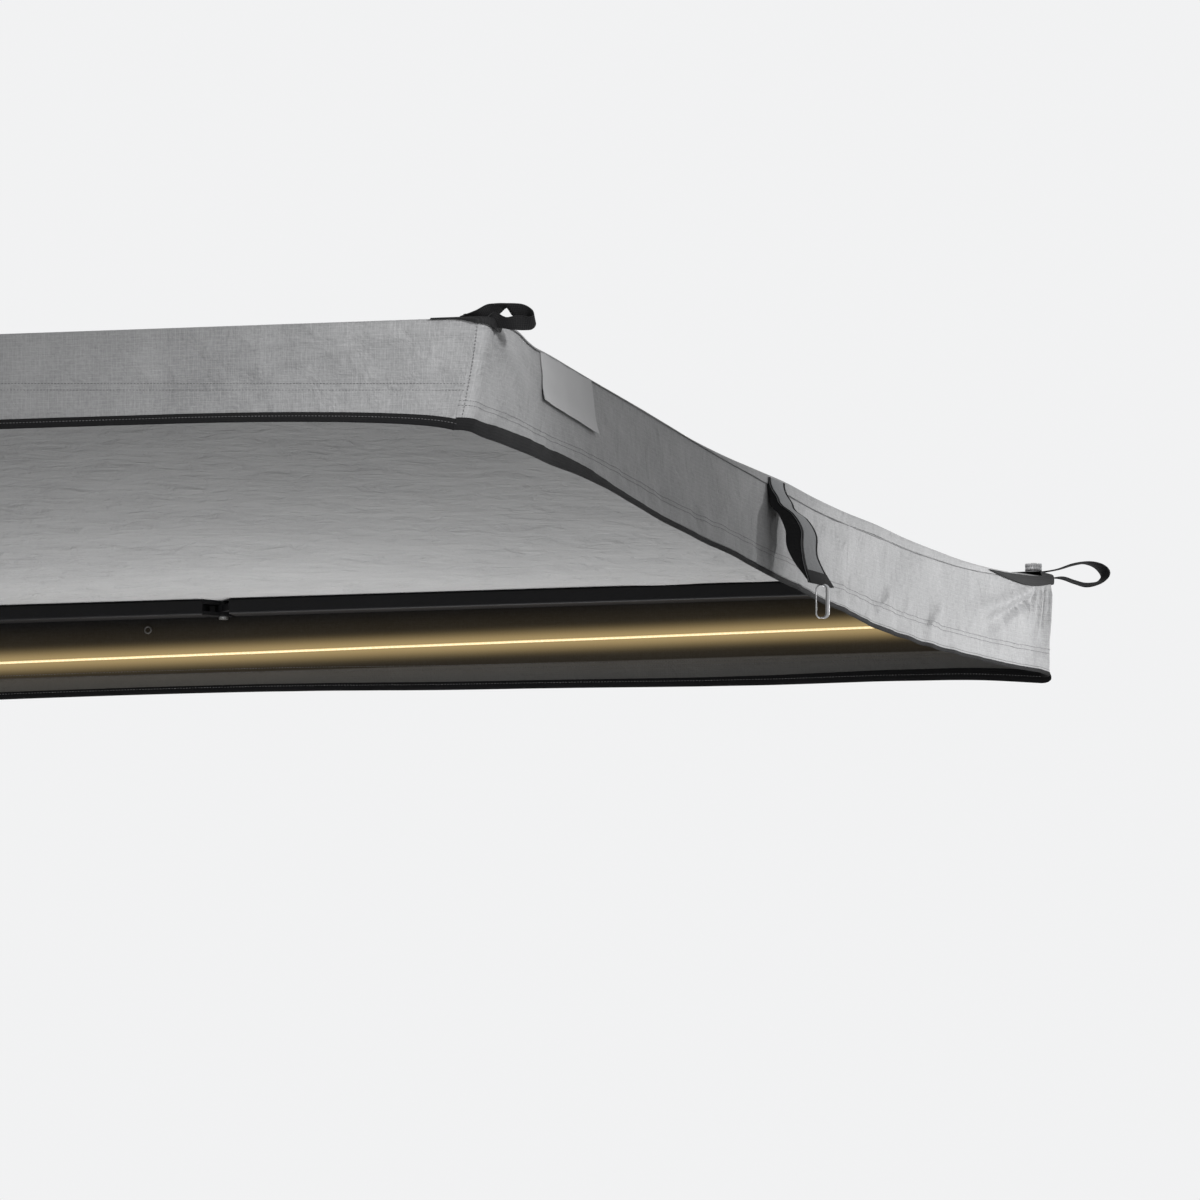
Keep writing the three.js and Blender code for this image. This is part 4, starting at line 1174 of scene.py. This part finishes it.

# Behind the tab hangs a black back layer with two side gussets. It is partly the tab's lining and
# partly painted shade: it stands for the tab's shadow on the valance.
back_gap = [
    (4, 0.8), (11, 2.5), (25, 7), (45, 15), (60, 20), (80, 22), (100, 20), (120, 13), (140, 4),
    (147, 2),
]
back_depth = np.linspace(0.004, 0.143, 40)
gx, gd = np.meshgrid(np.linspace(tab_start + 0.001, tab_end - 0.001, 12), back_depth)
points = tab_point(gx, gd, -through(back_gap, gd / mm) * mm)
uv = np.stack([gx, gd], axis=2)
lining = [cloth_sheet("back", points, uv, 0.0010, [inner_cloth], flip=True)]
gd, gs = np.meshgrid(back_depth, np.linspace(0, 1, 6))
gap = through(back_gap, gd / mm) * mm
for x in (tab_start + 0.0006, tab_end - 0.0006):
    uv = np.stack([gd, gs * 0.02], axis=2)
    lining.append(cloth_sheet("side", tab_point(x, gd, -gap * gs), uv, 0.0010, [inner_cloth]))
tab_lining_and_shade = joined("centre_tab_lining_and_shade", lining)
tell("tape and lining", tab_tape, tab_lining_and_shade)

# %% [markdown]
# The ring is bent from flat wire: a long D with a round section, thicker on its outer side.

# %% Ring
ring_x = 0.084
ring_top, ring_low = -0.1345, -0.1785
ring_middle = float(tab_point(ring_x, 0.147)[1]) - 0.0005
ring_half = 0.0080
bend = 0.0062
wire_turns = np.arange(10) / 10 * 2 * math.pi
ring_path, ring_radius = [], []
for side, z, start in (
    (1, ring_top - bend, 0), (-1, ring_top - bend, 90),
    (-1, ring_low + bend, 180), (1, ring_low + bend, 270),
):
    for turn in np.radians(start + np.arange(9) * 90 / 8):
        y = side * (ring_half - bend) + bend * math.cos(turn)
        ring_path.append((ring_x, ring_middle + y, z + bend * math.sin(turn)))
        ring_radius.append(0.0010 + 0.0019 * unit(-y / ring_half))
ring_path = np.array(ring_path)
along = np.roll(ring_path, -1, 0) - np.roll(ring_path, 1, 0)
across = np.cross(along / np.linalg.norm(along, axis=1, keepdims=True), (1.0, 0.0, 0.0))
sideways, outwards = np.cos(wire_turns)[:, None], np.sin(wire_turns)[:, None]
wire = sideways * (1.0, 0.0, 0.0) + across[:, None] * outwards
rings = ring_path[:, None] + wire * np.array(ring_radius)[:, None, None]
ring = shell("tab_ring_metal", rings, [chrome], closed=True)
tell("ring", ring)

# %% [markdown]
# ## Lamp strip and eyelet
# The strip lies on the far valance in a slim film that hangs from its upper edge. The eyelet is a
# rolled brass ring with a dark finish.

# %% Lamp strip
strip_y = np.linspace(-0.0600, -2.4755, 404)
strip_half = 0.0016
section = [(0.0, -1.0), (0.0, 1.0), (-0.7, 0.8), (-1.0, 0.0), (-0.7, -0.8)]
inner_face = half_width - 0.0021


def strip_point(y, out, up):
    """A place on the strip. The strip follows the waves of the cloth behind it."""
    height = strip_height(y)
    depth = (fold_height - height) / (fold_height - far_hem(y)) * hang
    x = inner_face + far_relief(y, depth) + out * 0.0022
    return np.stack([x, y, height + up * strip_half], axis=-1)


strip = np.array([strip_point(strip_y, out, up) for out, up in section])
strip_uv = flat_grid(-strip_y, np.linspace(0, 0.01, len(section)))
led_strip = shell("led_strip_film", strip.swapaxes(0, 1), [lamp], strip_uv.swapaxes(0, 1))
tell("lamp strip", led_strip)

# %% [markdown]
# ## Turned pieces
# Nuts and the eyelet are turned shapes: an outline spun round an axis. The grip of the far thumb
# nut is a ring of ribs, placed by Geometry Nodes.

# %% Spun outlines
def spun(name, outline, centre, axis, sides, finish):
    """A closed outline of (radius, height) in mm, spun round an axis through centre."""
    axis = Vector(axis)
    side = axis.orthogonal().normalized()
    turns = np.arange(sides) * 2 * math.pi / sides
    circle = np.outer(np.cos(turns), side) + np.outer(np.sin(turns), axis.cross(side))
    rings = [circle * radius * mm + np.array(axis) * height * mm for radius, height in outline]
    return shell(name, np.array(rings) + centre, [finish], closed=True)


eyelet_y, eyelet_z = -1.160, -0.003
eyelet_x = half_width - 0.0016 + float(far_relief(eyelet_y, fold_height - eyelet_z))
eyelet_outline = [
    (3.4, 0.0), (3.4, 0.6), (3.8, 1.2), (4.7, 1.5), (5.6, 1.1), (6.0, 0.4), (6.0, 0.0),
]
eyelet_place = (eyelet_x, eyelet_y, eyelet_z)
eyelet = spun("eyelet_metal", eyelet_outline, eyelet_place, (-1, 0, 0), 32, dark_metal)
nut_outline = [
    (4.1, 37.7), (12.0, 37.7), (12.0, 38.9), (11.0, 40.2), (9.6, 41.3), (9.6, 42.0), (11.2, 43.0),
    (11.3, 48.0), (10.4, 49.6), (8.2, 50.5), (4.9, 50.7), (4.1, 50.2),
]
nut_x, nut_y = 1.482, -2.483
thumb_nut = spun("thumb_nut_body", nut_outline, (nut_x, nut_y, 0.0), (0, 0, 1), 48, chrome)
tell("eyelet and nut", eyelet, thumb_nut)

# %% [markdown]
# ## Repeats
# One small tree of Geometry Nodes puts a bead on every point of a path, at a given pitch, turned
# along the path. Stitches and the ribs of the nut both use it.

# %% Geometry Nodes: a bead along a path
def along_path_tree(name, finish):
    """Inputs: Pitch, Length, Width. Puts a rounded bead at each step of the curve."""
    tree = bpy.data.node_groups.new(name, "GeometryNodeTree")
    words = "Geometry", "Pitch", "Length", "Width"
    for word in words:
        kind = "NodeSocketGeometry" if word == "Geometry" else "NodeSocketFloat"
        tree.interface.new_socket(word, in_out="INPUT", socket_type=kind)
    tree.interface.new_socket("Geometry", in_out="OUTPUT", socket_type="NodeSocketGeometry")
    graph = Nodes(tree)
    path, pitch, length, width = (graph.node("NodeGroupInput", output=word) for word in words)
    inputs = {"Curve": path, "Length": pitch}
    steps = graph.node("GeometryNodeResampleCurve", {"mode": "LENGTH"}, inputs)
    bead = graph.node("GeometryNodeMeshUVSphere", {}, {"Segments": 6, "Rings": 4, "Radius": 0.5})
    size = graph.node("CombineXYZ", {}, {"X": width, "Y": width, "Z": length})
    tangent = graph.node("GeometryNodeInputTangent")
    turn = graph.node("FunctionNodeAlignEulerToVector", {"axis": "Z"}, {"Vector": tangent})
    inputs = {"Points": steps, "Instance": bead, "Rotation": turn, "Scale": size}
    row = graph.node("GeometryNodeInstanceOnPoints", {}, inputs)
    real = graph.node("GeometryNodeRealizeInstances", {}, {"Geometry": row})
    inputs = {"Geometry": real, "Material": finish.material}
    painted = graph.node("GeometryNodeSetMaterial", {}, inputs)
    graph.node("NodeGroupOutput", {}, {"Geometry": painted})
    return tree


def beads(name, paths, pitch, length, width, tree):
    """Plain mesh of beads along some paths of points."""
    curve = bpy.data.curves.new(name + "_path", "CURVE")
    curve.dimensions = "3D"
    for path in paths:
        spline = curve.splines.new("POLY")
        spline.points.add(len(path) - 1)
        spline.points.foreach_set("co", np.column_stack([path, np.ones(len(path))]).ravel())
    source = placed(name + "_path", curve)
    modifier = source.modifiers.new("along", "NODES")
    modifier.node_group = tree
    values = {"Pitch": pitch, "Length": length, "Width": width}
    for item in tree.interface.items_tree:
        if item.in_out == "INPUT" and item.name in values:
            modifier[item.identifier] = values[item.name]
    bpy.context.view_layer.update()
    shown = source.evaluated_get(bpy.context.evaluated_depsgraph_get())
    mesh = bpy.data.meshes.new_from_object(shown)
    mesh.name = name
    bpy.data.objects.remove(source)
    mesh.shade_smooth()
    return placed(name, mesh)


print("beads ready")

# %% Stitches
stitch_tree = along_path_tree("stitches", thread)
stitch_size = 0.0044, 0.0034, 0.0009
edge_row = hang - binding_height + 0.0022
# The row of dark stitches along the edge of the canopy's fold is partly its seam and partly painted
# shade: it draws the thin shadow line under that edge.
wrap_seam_and_shade_line = through(wrap_table, front_x) * mm + 0.0022
seam_x = np.linspace(-1.4997, -1.4985, 60)
stitch_rows = {
    "front_stitches": [
        *(front_point(front_x, row, 0.0007) for row in hem_rows),
        front_point(front_x, edge_row, 0.0012),
        front_point(front_x, wrap_seam_and_shade_line, 0.0008),
    ],
    "near_side_stitches": [
        *(side_point(-1, side_y, near_row_depth(side_y, row), 0.0002) for row in (0, 1)),
        side_point(-1, side_y, edge_row, 0.0014),
        front_point(seam_x, np.linspace(0.003, 0.138, 60), 0.0010),
    ],
    "far_side_stitches": [
        *(side_point(1, side_y, row, -0.0013) for row in hem_rows),
        side_point(1, side_y, edge_row, -0.0022),
    ],
}
stitches = [beads(name, rows, *stitch_size, stitch_tree) for name, rows in stitch_rows.items()]
tell("stitches", *stitches)

# %% Ribs of the thumb nut
rib_tree = along_path_tree("ribs", chrome)
rib_count = 28
rib_circle = 0.0113
rib_paths = []
for step in range(rib_count):
    turn = 2 * math.pi * step / rib_count
    x, y = nut_x + rib_circle * math.cos(turn), nut_y + rib_circle * math.sin(turn)
    rib_paths.append([(x, y, 0.0428), (x, y, 0.0484)])
ribs = beads("thumb_nut_ribs", rib_paths, 0.02, 0.0062, 0.0018, rib_tree)
thumb_nut = joined("thumb_nut_far_turned", [thumb_nut, ribs])
tell("thumb nut", thumb_nut)

# %% [markdown]
# ## Rolled cover
# The travel cover is rolled up under the canopy, along the plate, and held by two straps. The roll
# shows the turns of its cloth at the ends and creases along its length.

# %% Rolled cover
cover_low, cover_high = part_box("rolled_cover")
cover_centre = (cover_low + cover_high) / 2
cover_radius = (cover_high.z - cover_low.z) / 2
cover_half = cover_high.x
cover_end = [
    (0.0, 0.84), (0.003, 0.80), (0.003, 0.62), (0.0005, 0.58), (0.0005, 0.42), (0.003, 0.38),
    (0.003, 0.14),
]
strap_places = (-0.9, 0.9)
turn_count = 96
cover_turns = np.linspace(0, 2 * math.pi, turn_count, endpoint=False)
gt, gx = np.meshgrid(cover_turns, np.linspace(-cover_half, cover_half, 240))
radius = cover_radius - 0.0016 + ripples(gx, np.sin(gt) * 0.03, 0.09, 61) * 0.0009
radius -= 0.0016 * unit(np.cos(gt - 1.1) ** 24)
for place in strap_places:
    radius -= 0.0014 * np.exp(-(((gx - place) / 0.02) ** 2))
radius = np.minimum(radius, cover_radius - 0.0002)
radius *= 0.86 + 0.14 * np.sqrt(unit((cover_half - np.abs(gx)) / 0.006))
roll = np.stack([gx, radius * np.cos(gt), radius * np.sin(gt)], axis=2)
ends = {}
for column, sign in ((0, -1), (-1, 1)):
    ends[sign] = []
    for depth, share in cover_end:
        inward = roll[column] * (share - 0.10 * np.arange(turn_count) / turn_count)[:, None]
        inward[:, 0] = sign * (cover_half - depth)
        ends[sign].append(inward)
rings = np.concatenate([ends[-1][::-1], roll, ends[1]])
round_roll = np.arctan2(rings[..., 2], rings[..., 1]) * cover_radius
cover_uv = np.stack([rings[..., 0], round_roll], axis=2)
rings = rings + (0.0, cover_centre.y, cover_centre.z)
cover = shell("rolled_cover_cloth", rings, [cover_cloth], cover_uv)
tell("cover", cover)

# %% Straps round the cover
straps = []
for number in (1, 2):
    low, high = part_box(f"cover_strap_{number}")
    outer = (high.z - low.z) / 2
    turns = np.linspace(0, 2 * math.pi, 65)
    hoop = np.column_stack([0 * turns, np.cos(turns), np.sin(turns)]) * (outer - 0.0010)
    centres = [(x, cover_centre.y, cover_centre.z) for x in np.linspace(low.x, high.x, 6)]
    rows = hoop + np.array(centres)[:, None]
    uv = flat_grid(turns * outer, np.linspace(0, high.x - low.x, 6))
    straps.append(cloth_sheet(f"band_{number}", rows, uv, 0.0016, [webbing], flip=True))
tell("straps", *straps)

# %% [markdown]
# ## Cord in the rear edge
# The canopy's rear edge is sewn round a cord that sits in the plate's groove.

# %% Rear cord
bead_low, bead_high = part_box("canopy_bead")
bead_middle = (bead_low.z + bead_high.z) / 2
bead_radius = (bead_high.z - bead_low.z) / 2
bead_steps = 15
outline = [(bead_low.y, -0.0006), (bead_low.y, 0.0006)]
for step in range(bead_steps):
    turn = math.pi - 0.2 - (2 * math.pi - 0.4) * step / (bead_steps - 1)
    y = bead_high.y - bead_radius + bead_radius * math.cos(turn)
    outline.append((y, bead_radius * math.sin(turn)))
bead_x = np.linspace(bead_low.x, bead_high.x, 60)
rings = np.array([[(x, y, bead_middle + z) for y, z in outline] for x in bead_x])
bead = shell("canopy_bead_cord", rings, [inner_cloth], rings[..., [0, 2]])
tell("rear cord", bead)

# %% [markdown]
# ## Riding and replacing
# All cloth rides on the base. When the arms fold, the cloth gathers against the plate. Here each
# soft piece is parented to its body, and the frame's node that it replaces is hidden.


def soft(piece, slot, *replaced, folds=True, body="base"):
    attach(piece, body)
    if folds:
        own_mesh(piece)
    if replaced:
        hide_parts(*replaced)


for piece, slot, *replaced in (
    (canopy, "canopy_cloth", "canopy"),
    (front_valance, "valance_cloth", "front_valance"),
    (side_pieces[-1], "valance_cloth", "side_valance_near"),
    (side_pieces[1], "valance_cloth", "side_valance_far"),
    (front_tape, "black_webbing", "front_binding"),
    (tapes[-1], "black_webbing", "side_binding_near"),
    (tapes[1], "black_webbing", "side_binding_far"),
    (patches[-1], "black_webbing", "corner_patch_near"),
    (patches[1], "black_webbing", "corner_patch_far"),
    (tail, "black_webbing"),
    (tab_lining_and_shade, "liner_cloth"),
    (near_loop, "black_webbing", "guy_loop_near"),
    (far_loop, "black_webbing", "guy_loop_far"),
    (label, "label_cloth", "label_patch"),
    (tab, "valance_cloth", "centre_tab"),
    (tab_tape, "black_webbing"),
    (ring, "chrome", "tab_ring"),
    (led_strip, "lamp_diffuser", "led_strip"),
    (eyelet, "chrome", "eyelet"),
    *((piece, "black_webbing") for piece in stitches),
):
    soft(piece, slot, *replaced)
soft(cover, "cover_cloth", "rolled_cover", folds=False)
for number, band in enumerate(straps, 1):
    soft(band, "black_webbing", f"cover_strap_{number}", folds=False)
soft(bead, "canopy_cloth", "canopy_bead", folds=False)
soft(thumb_nut, "chrome", "thumb_nut_far", folds=False, body="far_nut")

# %% Soft pieces done
print("soft pieces done")

# %% [markdown]
# ## Light and background
# A soft world lights everything a little. A disc lamp lights the near side and another the canopy
# from below. Two spot lamps brighten the right half of the front and the near corner, as in the
# photograph, and the background is a plain pale grey.

# %% World and lamps
pale_grey = (0.883, 0.886, 0.892, 1.0)
world = bpy.data.worlds.new("studio")
world.use_nodes = True
scene.world = world
studio = Nodes(world.node_tree)
plain = studio.node("Background", {}, {"Color": pale_grey, "Strength": 1.0})
soft_light = studio.node("Background", {}, {"Color": (1.0, 1.0, 1.0, 1.0), "Strength": 0.36})
seen = studio.rays("Camera", "Glossy", "Transmission")
mixed = studio.node("MixShader", {}, {0: seen, 1: soft_light, 2: plain})
studio.node("OutputWorld", {}, {"Surface": mixed})


def lamp_at(name, kind, place, target, watts, **settings):
    light = bpy.data.lights.new(name, kind)
    light.energy = watts
    for key, value in settings.items():
        setattr(light, key, value)
    aim(placed(name, light), place, target)


def spot_lamp(name, place, target, angle, watts, radius):
    cone = {"spot_size": math.radians(angle), "spot_blend": 0.6, "shadow_soft_size": radius}
    lamp_at(name, "SPOT", place, target, watts, **cone)


disc = {"shape": "DISK"}
lamp_at("near_side_lamp", "AREA", (-7.0, -1.0, 0.7), (-1.5, -2.0, -0.05), 74.0, size=1.0, **disc)
lamp_at("under_lamp", "AREA", (1.75, -1.4, -1.5), (1.45, -1.4, 0.0), 30.0, size=1.2, **disc)
spot_lamp("front_right_lamp", (2.4, -4.6, -0.1), (0.98, -2.5, -0.04), 31, 310.0, 0.2)
spot_lamp("near_corner_lamp", (-2.7, -4.0, 0.5), (-1.46, -2.47, -0.07), 20, 126.0, 0.15)
print("lamps", len(bpy.data.lights))

# %% Floor
floor_finish = Finish("studio_floor", roughness=0.9, specular=0.1)
floor_clouds = floor_finish.noise(floor_finish.object_place(), 0.7, 2.0)
floor_shade = floor_finish.mix(floor_clouds, (0.62, 0.625, 0.63), (0.64, 0.645, 0.65))
floor_finish.set("Base Color", floor_shade)
pale = floor_finish.node("Emission", {}, {"Color": pale_grey})
share = floor_finish.rays("Camera", "Glossy") * 0.75
mixed = floor_finish.node("MixShader", {}, {0: share, 1: floor_finish.surface, 2: pale})
floor_finish.tree.links.new(mixed.socket, floor_finish.out.inputs["Surface"])
bpy.ops.mesh.primitive_plane_add(size=60.0, location=(0, 0, -3.2))
floor = bpy.context.object
floor.name = "studio_floor"
floor.data.materials.append(floor_finish.material)
print("floor ready")
